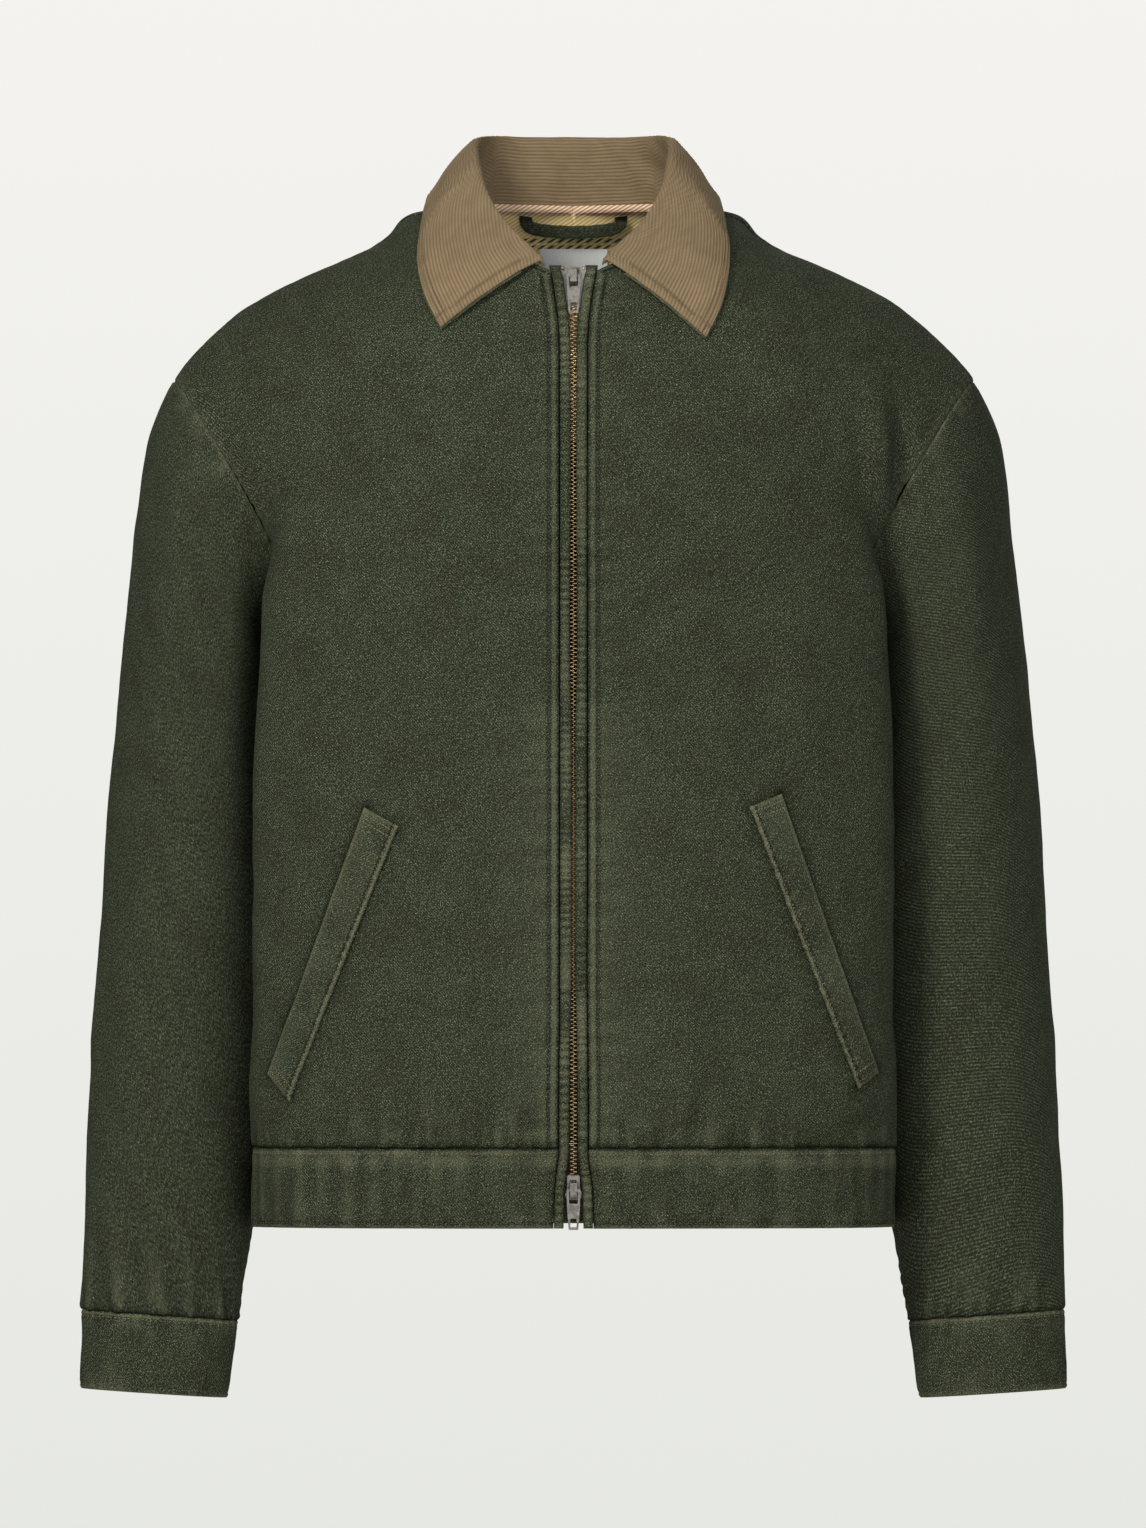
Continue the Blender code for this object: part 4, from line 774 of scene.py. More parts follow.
class Wall:
    """Gathers the points and faces of a cloth wall: a fine outer face and a coarser inner face."""

    def __init__(self, sewn=0):
        self.vertices, self.faces, self.flats, self.wear_and_shade_values = [], [], [], []
        self.sewn = sewn
        self.seam = None
        self.count = 0

    def layer(self, points, flat, wear):
        """Take in one face's points and return their numbers."""
        ids = self.count + numbered(points)
        self.count += ids.size
        self.vertices.append(points.reshape(-1, 3))
        self.flats.append(flat.reshape(-1, 2))
        self.wear_and_shade_values.append(wear.reshape(-1))
        return ids

    def add(self, outer, inner, flat, wear, flip, keep=KEEP):
        """One grid with its outer and inner points; inner is thinned to every few rows and columns."""
        rows, across = outer.shape[:2]
        down = np.unique(np.append(np.arange(0, rows, keep), rows - 1))
        over = np.unique(np.append(np.arange(0, across, keep), across - 1))
        if self.sewn:
            down = np.unique(np.append(down, self.sewn - 1))
        thin = np.ix_(down, over)
        fine = self.layer(outer, flat, wear)
        coarse = self.layer(inner[thin], flat[thin], wear[thin])
        sewn_coarse = int((down < self.sewn).sum())
        if self.sewn and self.seam is None:
            self.seam = fine[:self.sewn, 0].copy(), coarse[:sewn_coarse, 0].copy()
        elif self.sewn:
            fine[:self.sewn, 0], coarse[:sewn_coarse, 0] = self.seam
        self.faces += grid_quads(fine, flip) + grid_quads(coarse, not flip)
        rims = ((fine[0], coarse[0], over, False), (fine[-1], coarse[-1], over, True),
                (fine[:, 0], coarse[:, 0], down, True), (fine[:, -1], coarse[:, -1], down, False))
        for side, (edge, back, pick, turned) in enumerate(rims):
            for k in range(len(pick) - 1):
                if side == 2 and pick[k + 1] < self.sewn:
                    continue
                rim = [*edge[pick[k]:pick[k + 1] + 1][::-1].tolist(), int(back[k]), int(back[k + 1])]
                self.faces.append(rim[::-1] if turned != flip else rim)

    def piece(self, name):
        vertices = np.concatenate(self.vertices)
        used = np.zeros(len(vertices), bool)
        for face in self.faces:
            used[face] = True
        place = np.cumsum(used) - 1
        faces = [place[face].tolist() for face in self.faces]
        return add_piece(name, vertices[used], faces, np.concatenate(self.flats)[used],
                         np.concatenate(self.wear_and_shade_values)[used])


def declare_cloth(piece, grids):
    """Give back the cloth piece as it is; the grids are not used."""
    return piece


def cloth_panel(name, places, material, sewn=0):
    """Dressed piece made of one or two parts of the form."""
    made = Wall(sewn)
    for place in places:
        part, relief = form().parts[place], form().relief[place]
        inner = part.points + part.normals * (relief.slack - SHELL)[..., None]
        made.add(form().made[place], inner, part.flat, relief.wear, part.flip)
    piece = made.piece(name)
    piece.data.materials.append(material)
    return declare_cloth(piece, [form().parts[place].points for place in places])


# ================================================================ materials
class Surface:
    """Node material built round one Principled shader; what is the same all over sits on its sockets."""

    def __init__(self, name, colour, roughness, metallic=0.0, specular=0.5):
        self.material = bpy.data.materials.new(name)
        self.material.use_nodes = True
        self.nodes = self.material.node_tree.nodes
        self.shader = self.nodes["Principled BSDF"]
        constants = {"Base Color": (*colour, 1), "Roughness": roughness, "Metallic": metallic,
                     "Specular IOR Level": specular}
        for socket, value in constants.items():
            self.shader.inputs[socket].default_value = value
        self.material.diffuse_color = (*colour, 1)

    def link(self, source, socket):
        self.material.node_tree.links.new(source, socket)
        return source

    def node(self, kind, inputs=(), **settings):
        made = self.nodes.new(kind)
        for name, value in settings.items():
            setattr(made, name, value)
        for key, value in dict(inputs).items():
            if isinstance(value, bpy.types.NodeSocket):
                self.link(value, made.inputs[key])
            else:
                made.inputs[key].default_value = value
        return made

    def flat(self):
        """Place on the cut cloth, in mm."""
        return self.mapped(self.node("ShaderNodeUVMap", uv_map="flat").outputs["UV"], PER_METRE)

    def place(self):
        """Place in the jacket's own space, in mm."""
        return self.mapped(self.node("ShaderNodeTexCoord").outputs["Object"], PER_METRE)

    def mapped(self, source, size, turn=0.0):
        """Vector turned about its third axis, then scaled."""
        turned = self.node("ShaderNodeVectorRotate", {"Vector": source, "Angle": turn},
                           rotation_type="Z_AXIS").outputs[0]
        return self.node("ShaderNodeVectorMath", {0: turned, 1: size}, operation="MULTIPLY").outputs[0]

    def noise(self, vector, scale, detail, roughness=0.5):
        return self.node("ShaderNodeTexNoise", {"Vector": vector, "Scale": scale, "Detail": detail,
                                                "Roughness": roughness}).outputs["Fac"]

    def waves(self, vector, pitch, distortion):
        """Bands this many mm apart across a vector in mm."""
        return self.node("ShaderNodeTexWave", {"Vector": vector, "Scale": math.tau / 20 / pitch,
                                               "Distortion": distortion}).outputs["Fac"]

    def span(self, value, low, high, start=0.0, end=1.0):
        return self.node("ShaderNodeMapRange", {"Value": value, "From Min": low, "From Max": high,
                                                "To Min": start, "To Max": end}).outputs["Result"]

    def sums(self, a, b, operation="MULTIPLY"):
        return self.node("ShaderNodeMath", {0: a, 1: b}, operation=operation).outputs[0]

    def mix(self, share, a, b):
        """Colour between a and b; each is an output or three numbers."""
        a, b = (value if isinstance(value, bpy.types.NodeSocket) else (*value, 1) for value in (a, b))
        return self.node("ShaderNodeMix", {0: share, 6: a, 7: b}, data_type="RGBA").outputs[2]

    def coloured(self, colour):
        self.link(colour, self.shader.inputs["Base Color"])

    def bumped(self, height, distance, strength):
        bump = self.node("ShaderNodeBump", {"Height": height, "Distance": distance * MM,
                                            "Strength": strength})
        self.link(bump.outputs["Normal"], self.shader.inputs["Normal"])

    def attribute(self, name):
        return self.node("ShaderNodeAttribute", attribute_name=name).outputs["Fac"]


def tinted(colour, by):
    """Colour scaled by one number, or by one for each channel."""
    return tuple(np.array(colour) * by)


@functools.lru_cache(maxsize=None)
def denim(worn=0.0):
    """Washed green denim: fine broken twill, pale flecks, slubs along the warp, lighter where rubbed,
    darker where shade is painted.
    """
    look = bpy.context.scene.jacket_cloth
    dye, fleck = look.colour, look.fleck
    cloth = Surface("green_denim", dye, 0.95, specular=0.08)
    flat = cloth.flat()
    twill = cloth.waves(cloth.mapped(flat, (1, 1, 1), TWILL_SLANT), look.twill / MM, 0.8)
    strokes = cloth.noise(cloth.mapped(flat, (1.0, 0.55, 1), TWILL_SLANT), 1.5, 2, 0.6)
    tiny = cloth.noise(flat, 1.1, 1)
    slub = cloth.noise(cloth.mapped(flat, (0.9, 0.035, 1)), 1.0, 2)
    patches = cloth.noise(flat, 0.035, 4, 0.62)
    flecks = cloth.sums(cloth.span(twill, 0.3, 0.85, 0.15, 1.0), cloth.span(strokes, 0.47, 0.62))
    base = cloth.mix(cloth.span(patches, 0.36, 0.62), tinted(dye, (0.96, 0.86, 0.82)),
                     tinted(dye, (0.98, 1.1, 1.04)))
    base = cloth.mix(cloth.span(strokes, 0.3, 0.5, 0.75, 0.0), base, tinted(dye, 0.35))
    base = cloth.mix(cloth.span(slub, 0.5, 0.75, 0.0, 0.3), base, tinted(dye, 0.5))
    base = cloth.mix(cloth.sums(flecks, cloth.span(patches, 0.35, 0.65, 0.5, 0.72)), base, tuple(fleck))
    base = cloth.mix(cloth.span(tiny, 0.64, 0.72, 0.0, 0.6), base, tinted(fleck, 1.7))
    rub_and_shade = cloth.sums(cloth.attribute("wear"), worn, "ADD")
    rubbed = cloth.sums(cloth.span(rub_and_shade, 0.0, 1.0, 0.0, 0.8), cloth.span(strokes, 0.35, 0.6, 0.35, 1.0))
    base = cloth.mix(rubbed, base, tinted(fleck, (1.05, 1.0, 0.85)))
    # Below zero the channel is painted shade: seams, stitch grooves and hollows are darkened towards a deep
    # dye.
    cloth.coloured(cloth.mix(cloth.span(rub_and_shade, 0.0, -1.0, 0.0, 0.9), base, tinted(dye, 0.22)))
    woven = cloth.sums(twill, cloth.span(strokes, 0.35, 0.65))
    cloth.bumped(cloth.sums(woven, cloth.sums(strokes, 0.8), "ADD"), look.depth / MM, 0.7)
    return cloth.material


@functools.lru_cache(maxsize=None)
def corduroy():
    """Tan pile: the attribute of wear and painted shade carries the height of the wales; the grooves
    between them and the stitch lines are painted darker as shade.
    """
    pile = bpy.context.scene.jacket_collar.colour
    cloth = Surface("tan_corduroy", pile, 0.95, specular=0.08)
    flat = cloth.flat()
    fuzz = cloth.noise(cloth.mapped(flat, (0.7, 1.6, 1)), 1.6, 3, 0.65)
    patches = cloth.noise(flat, 0.05, 2)
    # Painted shade: the pile is darkened in the grooves between the wales and along the stitch lines.
    base = cloth.mix(cloth.span(cloth.attribute("wear"), 0.2, 0.85), tinted(pile, 0.36), tuple(pile))
    base = cloth.mix(cloth.span(fuzz, 0.3, 0.72, 0.0, 0.55), base, tinted(pile, 1.28))
    cloth.coloured(cloth.mix(cloth.span(patches, 0.4, 0.7, 0.0, 0.35), base, tinted(pile, 0.8)))
    cloth.bumped(fuzz, 0.25, 0.6)
    return cloth.material


def lining_twill():
    """Ochre twill with a pinkish strip at its top and two rows of slanted green dashes below the loop."""
    # The ochre is the lining's own colour made paler: partly its colour, partly painted light that makes up
    # for the shade inside the neck.
    cloth = Surface("ochre_twill", (0.75, 0.56, 0.25), 0.9, specular=0.2)
    across, _, height = cloth.node("ShaderNodeSeparateXYZ", {0: cloth.place()}).outputs
    upright = cloth.node("ShaderNodeCombineXYZ", {0: across, 1: height}).outputs[0]
    slanted = cloth.mapped(upright, (1, 1, 1), LINING_SLANT)
    twill = cloth.waves(slanted, 1.9, 0.3)
    base = cloth.mix(cloth.span(twill, 0.2, 0.8), (0.60, 0.42, 0.15), (0.88, 0.72, 0.38))
    pink = cloth.mix(cloth.span(twill, 0.35, 0.65), (0.42, 0.24, 0.14), (0.85, 0.64, 0.45))
    base = cloth.mix(cloth.span(height, PINK_FROM, PINK_FULL), base, pink)
    dashes = cloth.waves(slanted, 3.1, 0.2)
    for low, high in LINING_DASHES:
        over, under = cloth.span(height, low - 0.2, low + 0.2), cloth.span(height, high + 0.2, high - 0.2)
        shown = cloth.sums(cloth.sums(over, under), cloth.span(dashes, 0.55, 0.65))
        base = cloth.mix(shown, base, (0.035, 0.075, 0.055))
    cloth.coloured(base)
    cloth.bumped(twill, 0.25, 0.7)
    return cloth.material


def plain_cloth(name, colour, pitch, roughness=0.85):
    """Small woven piece with fine upright ribs."""
    cloth = Surface(name, colour, roughness, specular=0.25)
    place = cloth.place()
    ribs = cloth.waves(place, pitch, 0.4)
    grain = cloth.noise(place, 0.8, 3)
    base = cloth.mix(cloth.span(ribs, 0.1, 0.9, 0.0, 0.3), colour, tinted(colour, 0.75))
    cloth.coloured(cloth.mix(cloth.span(grain, 0.35, 0.7, 0.0, 0.3), base, tinted(colour, 1.15)))
    cloth.bumped(cloth.sums(ribs, grain, "ADD"), 0.12, 0.6)
    return cloth.material


def metal(name, colour, roughness, tarnish):
    """Worn metal with duller patches."""
    surface = Surface(name, colour, roughness, metallic=1.0)
    place = surface.place()
    patches = surface.noise(place, 0.45, 4, 0.6)
    surface.coloured(surface.mix(surface.span(patches, 0.38, 0.68), colour, tarnish))
    duller = surface.span(patches, 0.35, 0.7, roughness, roughness + 0.22)
    surface.link(duller, surface.shader.inputs["Roughness"])
    surface.bumped(surface.noise(place, 2.5, 2), 0.04, 0.5)
    return surface.material


@functools.lru_cache(maxsize=None)
def brass():
    return metal("aged_brass", (0.40, 0.27, 0.14), 0.36, (0.13, 0.08, 0.04))


@functools.lru_cache(maxsize=None)
def steel():
    return metal("grey_steel", (0.23, 0.22, 0.20), 0.38, (0.12, 0.11, 0.09))


def thread(name, colour):
    yarn = Surface(name, colour, 0.7, specular=0.3)
    fuzz = yarn.span(yarn.noise(yarn.place(), 0.5, 2), 0.3, 0.7)
    yarn.coloured(yarn.mix(fuzz, tinted(colour, 0.6), colour))
    return yarn.material


# ================================================================ stitches
def bead(centre, along, out, length, thick):
    """Low-sided bead of thread lying on the cloth."""
    side = np.cross(along, out)
    vertices = [centre - along * length / 2 - out * thick * 0.4]
    for share, size in ((-0.3, 0.85), (0.3, 0.85)):
        for turn in range(5):
            angle = math.tau * turn / 5
            vertices.append(centre + along * length * share
                            + (side * math.cos(angle) + out * math.sin(angle)) * thick * size / 2)
    vertices.append(centre + along * length / 2 - out * thick * 0.4)
    faces = []
    for turn in range(5):
        after = (turn + 1) % 5
        faces += [(0, 1 + after, 1 + turn), (1 + turn, 1 + after, 6 + after, 6 + turn),
                  (11, 6 + turn, 6 + after)]
    return vertices, faces


class Thread:
    """Gathers rows of stitches into one mesh."""

    def __init__(self):
        self.vertices, self.faces = [], []

    def stitch(self, centre, along, out, length, thick):
        vertices, faces = bead(np.asarray(centre), unit(along), unit(out), length, thick)
        start = len(self.vertices)
        self.vertices += vertices
        self.faces += [tuple(i + start for i in face) for face in faces]

    def row(self, points, outs, pitch, length, thick, sunk):
        """Stitches along a line of points with their outward directions."""
        run = lengths_along(points)

        def read(values, at):
            return np.array([np.interp(at, run, values[:, k]) for k in range(3)])

        for at in np.arange(pitch / 2, run[-1], pitch):
            out = read(outs, at)
            along = read(points, at + 0.8) - read(points, at - 0.8)
            self.stitch(read(points, at) - out * sunk, along, out, length, thick)

    def piece(self, name, material):
        made = add_piece(name, np.array(self.vertices), self.faces)
        made.data.materials.append(material)
        return made


def line_at(place, distance, edge):
    """Line on a part at a distance in mm from one of its edges, with the outward directions."""
    part, made = form().parts[place], form().made[place]
    away = part.edges[edge]
    if edge > 1:
        made, away, normals = made.transpose(1, 0, 2), away.T, part.normals.transpose(1, 0, 2)
    else:
        normals = part.normals
    points, outs = [], []
    for column in range(made.shape[1]):
        order = np.argsort(away[:, column])
        share = np.interp(distance, away[order, column], np.arange(len(order)))
        low = min(int(share), len(order) - 2)
        a, b = order[low], order[low + 1]
        points.append(made[a, column] * (1 - share + low) + made[b, column] * (share - low))
        outs.append(normals[a, column])
    return np.array(points), np.array(outs)


def traced(points, normals, distance, at):
    """Line through the point of each row whose distance is closest to a value, and its directions."""
    columns = np.abs(distance - at).argmin(axis=1)
    rows = np.arange(len(points))
    return points[rows, columns], normals[rows, columns]


# ================================================================ cut pieces
def make_fronts():
    for side, word in SIDES:
        front = cloth_panel(f"front_panel_{word}", [("front", side)], denim())
        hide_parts(f"front_{word}")
        band = cloth_panel(f"waist_front_{word}", [("front_band", side)], denim())
        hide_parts(f"waistband_{word}")


def make_back():
    back = cloth_panel("back_panel", [("back", -1), ("back", 1)], denim(),
                       sewn=form().sewn)
    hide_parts("back")
    band = cloth_panel("waist_back", [("back_band", -1), ("back_band", 1)], denim(),
                       sewn=form().parts["back_band", 1].points.shape[0])
    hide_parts("waistband_back")


def make_sleeves():
    for side, word in SIDES:
        sleeve = cloth_panel(f"sleeve_tube_{word}", [("sleeve", side)], denim())
        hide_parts(f"sleeve_{word}")
        cuff = cloth_panel(f"cuff_band_{word}", [("cuff", side)], denim())
        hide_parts(f"cuff_{word}")


# ================================================================ collar
def resampled(grid, rows, columns):
    """Grid of points drawn finer with smooth curves, evenly along its lines."""
    count, across = grid.shape[:2]
    lines = spline(range(count), grid.reshape(count, -1), np.linspace(0, count - 1, rows))
    result = []
    for line in lines.reshape(rows, across, 3):
        run = lengths_along(line)
        result.append(spline(run, line, np.linspace(0, run[-1], columns)))
    return np.array(result)


@functools.lru_cache(maxsize=None)
def collar_face():
    """Coarse visible face of the collar, from the zip's left side round the neck to its right side."""
    tree = form().smooth_tree
    face = []
    for station in np.linspace(-1, 1, COLLAR_ALONG + 1):
        section = collar_section(abs(station), tree, RIGHT_TIP_DROP if station > 0 else 0.0)
        face.append(section if station >= 0 else mirrored(section))
    face = np.array(face)
    crest = STAND_STEPS + FOLD_STEPS // 2
    for _ in range(3):
        normals = grid_normals(face, True)
        lowest = face - normals * (CORD_WALL + SEAM_GAP + UNDER_WALL)
        lift = (lifted(lowest, tree, COLLAR_CLEAR) - lowest)[:, crest:]
        lift[1:-1] = lift[:-2] / 4 + lift[1:-1] / 2 + lift[2:] / 4
        face[:, crest:] += lift
    return face


def wale_place(face):
    """Distance of every point from the fall's outer edge, measured square to the wales."""
    along = unit(np.gradient(face, axis=0))
    step = np.diff(face, axis=1)
    square = np.linalg.norm(np.cross(step, along[:, 1:]), axis=2)
    back = np.cumsum(square[:, ::-1], axis=1)[:, ::-1]
    return np.hstack((back, np.zeros((len(face), 1))))


COLLAR_CREASES = [
    Crease([(18, 52), (30, 44), (40, 30), (44, 16)], 5.0, 1.6),
    Crease([(34, 50), (42, 38), (60, 30)], 5.0, -1.2),
    Crease([(-50, 46), (-20, 34), (6, 24)], 8.0, 0.9),
    Crease([(70, -20), (84, -26), (94, -32)], 5.0, 0.9),
    Crease([(-78, -34), (-66, -44), (-60, -56)], 6.0, 0.7),
]


def make_collar():
    look = bpy.context.scene.jacket_collar
    face = resampled(collar_face(), *COLLAR_FINE)
    normals = grid_normals(face, True)
    wales = wale_place(face)
    first, last, _, outer = edge_distance(face)
    run = first
    phase = wales + 0.35 * noise(run, wales, 26, 71) + 0.12 * noise(run, wales, 6, 72)
    phase /= look.wales / MM
    wale = np.abs(np.cos(math.pi * phase)) ** 0.8
    wale *= 0.82 + 0.18 * noise(run, wales, 5, 73)
    fronts = np.minimum(first, last)
    hem = np.minimum(outer, fronts)
    slack = 0.5 * noise(run, wales, 40, 74) + 0.25 * noise(run, wales, 14, 75)
    from_front = np.clip((0.1 - normals[..., 1]) / 0.6, 0, 1)
    slack += crease_relief(COLLAR_CREASES, face[..., 0], face[..., 2]) * from_front
    pressed = np.exp(-outer / 9) + np.exp(-fronts / 5)
    offset = slack + 0.55 * (wale - 0.6) * (1 - 0.35 * np.clip(pressed, 0, 1))
    sewn = ridge_line(fronts, COLLAR_FRONT_STITCH, 0.7) * (wales < 62)
    for at in COLLAR_STITCHES:
        sewn = np.maximum(sewn, 0.6 * ridge_line(outer, at, 0.6))
    offset -= 0.9 * sewn
    offset += (puckers(run, np.abs(outer - 4.5), 4.6, 5, 0.6, 76)
               + puckers(wales, np.abs(fronts - 4), 4.2, 5, 0.5, 77))
    offset += turned_in(hem, 2.2, 0.8)
    shown = face + normals * offset[..., None]
    made = Wall()
    # The wale height, pulled down along the stitch lines, is handed on for the painted shade in the
    # corduroy's grooves.
    made.add(shown, face + normals * (slack - CORD_WALL)[..., None], np.stack((run, wales), -1),
             np.clip(wale - 0.8 * sewn, 0, 1), True)
    collar = made.piece("collar_fall")
    collar.data.materials.append(corduroy())
    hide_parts("collar_top")
    declare_cloth(collar, [face])
    make_under_collar()
    stitch_collar(shown, normals, (first, last, outer))


def make_under_collar():
    """Denim facing under the fall; its edge peeks out by a millimetre."""
    coarse = collar_face()
    normals = grid_normals(coarse, True)
    fall = slice(STAND_STEPS + FOLD_STEPS + 1, None)
    layer = (coarse - normals * (CORD_WALL + SEAM_GAP))[:, fall]
    fine = resampled(layer, *FACING_FINE)
    outward = grid_normals(fine, True)
    fine[:, -1] += unit(fine[:, -1] - fine[:, -2]) * 1.0
    for row, before in ((0, 1), (-1, -2)):
        fine[row] += unit(fine[row] - fine[before]) * 1.0
    run, _, across, _ = edge_distance(fine)
    made = Wall()
    made.add(fine, fine - outward * UNDER_WALL * 0.8, np.stack((run, across), -1),
             np.full_like(run, 0.4), True, keep=4)
    under = made.piece("collar_facing")
    under.data.materials.append(denim())
    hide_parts("collar_under")
    declare_cloth(under, [fine])


def stitch_collar(points, normals, edges):
    first, last, outer = edges
    sewing = Thread()
    ends, stand = slice(3, -3), slice(60, -3)
    for at in COLLAR_STITCHES:
        line, outs = traced(points, normals, outer, at)
        sewing.row(line[ends], outs[ends], 3.3, 2.1, 0.5, 0.05)
    across, across_normals = (grid.transpose(1, 0, 2)[stand] for grid in (points, normals))
    for distance in (first, last):
        line, outs = traced(across, across_normals, distance.T[stand], COLLAR_FRONT_STITCH)
        sewing.row(line, outs, 3.3, 2.1, 0.5, 0.05)
    sewing.piece("collar_stitching", thread("brown_thread", (0.11, 0.07, 0.04)))


# ================================================================ pocket welts
def make_welts():
    tack = Thread()
    for welt in WELTS:
        rows = []
        for down in np.linspace(0, 1, WELT_FINE[0]):
            outer = np.array(welt.top_outer) * (1 - down) + np.array(welt.low_outer) * down
            inner = np.array(welt.top_inner) * (1 - down) + np.array(welt.low_inner) * down
            rows.append([outer * (1 - over) + inner * over for over in np.linspace(0, 1, WELT_FINE[1])])
        base = np.array([[front_hit(form().tree, welt.side * x, z)[0] for x, z in row] for row in rows])
        left = welt.side < 0
        normals = grid_normals(base, left)
        first, last, outer, inner = edge_distance(base)
        rise = 0.5 + WELT_WALL + 0.4 * noise(first, outer, 16, 91 + left)
        pitch, reach, slant = (6.5, 10, 0.0) if left else (9, 16, 0.8)
        rise += puckers(first, inner, pitch, reach, 0.8, 93 + left, slant)
        rise -= 0.5 * ridge_line(inner, WELT_STITCH, 0.9) + 0.25 * ridge_line(outer, 2.6, 0.8)
        rise += (turned_in(np.minimum(outer, np.minimum(first, last)), 1.6, 0.9)
                 + turned_in(inner, 2.4, 1.5))
        top = base + normals * rise[..., None]
        # Edges and raised parts paler where rubbed; the stitch groove and low parts darker as painted
        # shade.
        wear = (0.95 * np.exp(-outer / 1.5) + 0.9 * ridge_line(inner, 1.6, 1.2) + 0.7 * np.exp(-first / 2)
                + 0.6 * np.exp(-last / 2.5) - 0.7 * ridge_line(inner, 3.4, 0.8)
                + 0.3 * np.clip(rise - 2.3, -1, 1))
        flat = np.stack((outer * welt.side, -first), -1)
        made = Wall()
        made.add(top, base + normals * 0.3, flat, np.clip(wear, -1, 1), left, keep=2)
        piece = made.piece(f"pocket_{welt.name}")
        piece.data.materials.append(denim(0.06))
        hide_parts(welt.name)
        declare_cloth(piece, [base])
        tack.row(*traced(top, normals, inner, WELT_STITCH), 2.7, 1.9, 0.55, 0.05)
        for i in (3, 6, -4, -7):
            tack.row(top[i, 2:-2], normals[i, 2:-2], 2.2, 1.7, 0.6, 0.05)
    tack.piece("welt_stitching", thread("tan_thread", (0.26, 0.19, 0.12)))


# ================================================================ zip
def front_edge_line(side):
    """Heights and depths of a front's own edge, for laying the zip beside it."""
    edge = form().parts["front", side].points[:form().sewn, 0]
    band = form().parts["front_band", side].points[:-1, 0]
    line = np.vstack((band, edge))
    above = 2 * line[-1] - line[-4]
    return np.vstack((line, above))


def zip_depth(heights):
    line = front_edge_line(1)
    return np.interp(heights, line[:, 2], line[:, 1])


def make_zip_bands():
    heights = np.arange(BAND_LOW, BAND_TOP, 1.1)
    depth = zip_depth(heights)
    for side, word in SIDES:
        line = front_edge_line(side)
        ditch = np.interp(heights, line[:, 2], np.abs(line[:, 0])) - 0.25
        gap = np.array([edge_value(height, "gap") for height in heights])
        bumps = puckers(heights, 0 * heights, 5.0, 10, 0.6, 121 + side)
        swell = 0.35 * noise(heights, 0 * heights, 23, 125 + side)
        turns = np.linspace(0, math.pi, 11)
        rings = []
        for k in range(len(heights)):
            half = (ditch[k] - gap[k]) / 2
            high = (BAND_PROUD + 0.4 + bumps[k] + swell[k]) * min(1, half / 2.6)
            middle = gap[k] + half + 0.25 * swell[k]
            ring = [(side * (middle - half * (1 + 0.05 * bumps[k]) * math.cos(turn)),
                     depth[k] - 0.1 - high * math.sin(turn) ** 0.75, heights[k]) for turn in turns]
            ring += [(side * ditch[k], depth[k] + BAND_DEPTH, heights[k]),
                     (side * gap[k], depth[k] + BAND_DEPTH, heights[k])]
            rings.append(ring)
        rings = np.array(rings)
        ids = numbered(rings)
        ids = np.hstack((ids, ids[:, :1]))
        faces = grid_quads(ids, side > 0) + end_caps(ids)
        over = np.concatenate((np.cumsum(np.full(11, 0.85)), (10.5, 12)))
        flat = np.stack(np.broadcast_arrays(over[None, :] * side, heights[:, None]), -1).reshape(-1, 2)
        # Paler on the rubbed crest and bumps; the flanks and hollows painted darker as shade.
        rounded = np.sin(np.append(turns, (0, 0)))[None, :] ** 2
        wear = np.clip(0.7 * bumps[:, None] + swell[:, None] + 0.45 * rounded - 0.3, -1, 1)
        wear = wear * np.where(heights[:, None] < -200, 1.0, 0.75)
        band = add_piece(f"zip_edge_{word}", rings.reshape(-1, 3), faces, flat, wear.reshape(-1))
        band.data.materials.append(denim(0.1))
        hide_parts(f"zip_band_{word}")


def make_teeth():
    """Interlocked teeth between the sliders: a block with a nib, set in turn left and right."""
    vertices, faces = [], []
    block = [(-1.0, -0.42), (1.0, -0.42), (1.0, 0.42), (-1.0, 0.42)]
    levels = ((CHAIN_FRONT - 0.35, 0.72), (CHAIN_FRONT, 1.0), (CHAIN_BACK - 0.3, 1.0), (CHAIN_BACK, 0.8))
    heights = np.arange(CHAIN_LOW, CHAIN_TOP, TOOTH_PITCH)
    for index, (height, depth) in enumerate(zip(heights, zip_depth(heights))):
        side = 1 if index % 2 else -1
        start = len(vertices)
        for y, size in levels:
            for x, z in block:
                vertices.append((side * 0.9 + x * 1.45 * size, depth + y, height + z * size))
        for level in range(3):
            for k in range(4):
                a, b = start + level * 4 + k, start + level * 4 + (k + 1) % 4
                faces.append((a, b, b + 4, a + 4))
        faces += [(start + 3, start + 2, start + 1, start), tuple(range(start + 12, start + 16))]
    teeth = add_piece("zip_teeth", np.array(vertices), faces)
    teeth.data.shade_flat()
    teeth.data.materials.append(brass())
    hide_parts("zip_chain")


def keep_node(name, material, bevel=0.0):
    """Show one of the solids themselves, with softened edges when a bevel is given."""
    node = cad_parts[name]
    node.data.materials.clear()
    node.data.materials.append(material)
    if bevel:
        made = node.modifiers.new("soft_edges", "BEVEL")
        made.width = bevel * MM
        made.segments = 2
        made.limit_method = "ANGLE"
        made.angle_limit = math.radians(35)


def make_zip_metal():
    make_teeth()
    tape = plain_cloth("dark_tape", (0.022, 0.026, 0.02), 1.1)
    for _, word in SIDES:
        keep_node(f"zip_tape_{word}", tape)
        keep_node(f"top_stop_{word}", brass())
    for word in ("top", "bottom"):
        keep_node(f"slider_{word}", steel(), 0.2)
        keep_node(f"pull_tab_{word}", steel(), 0.15)


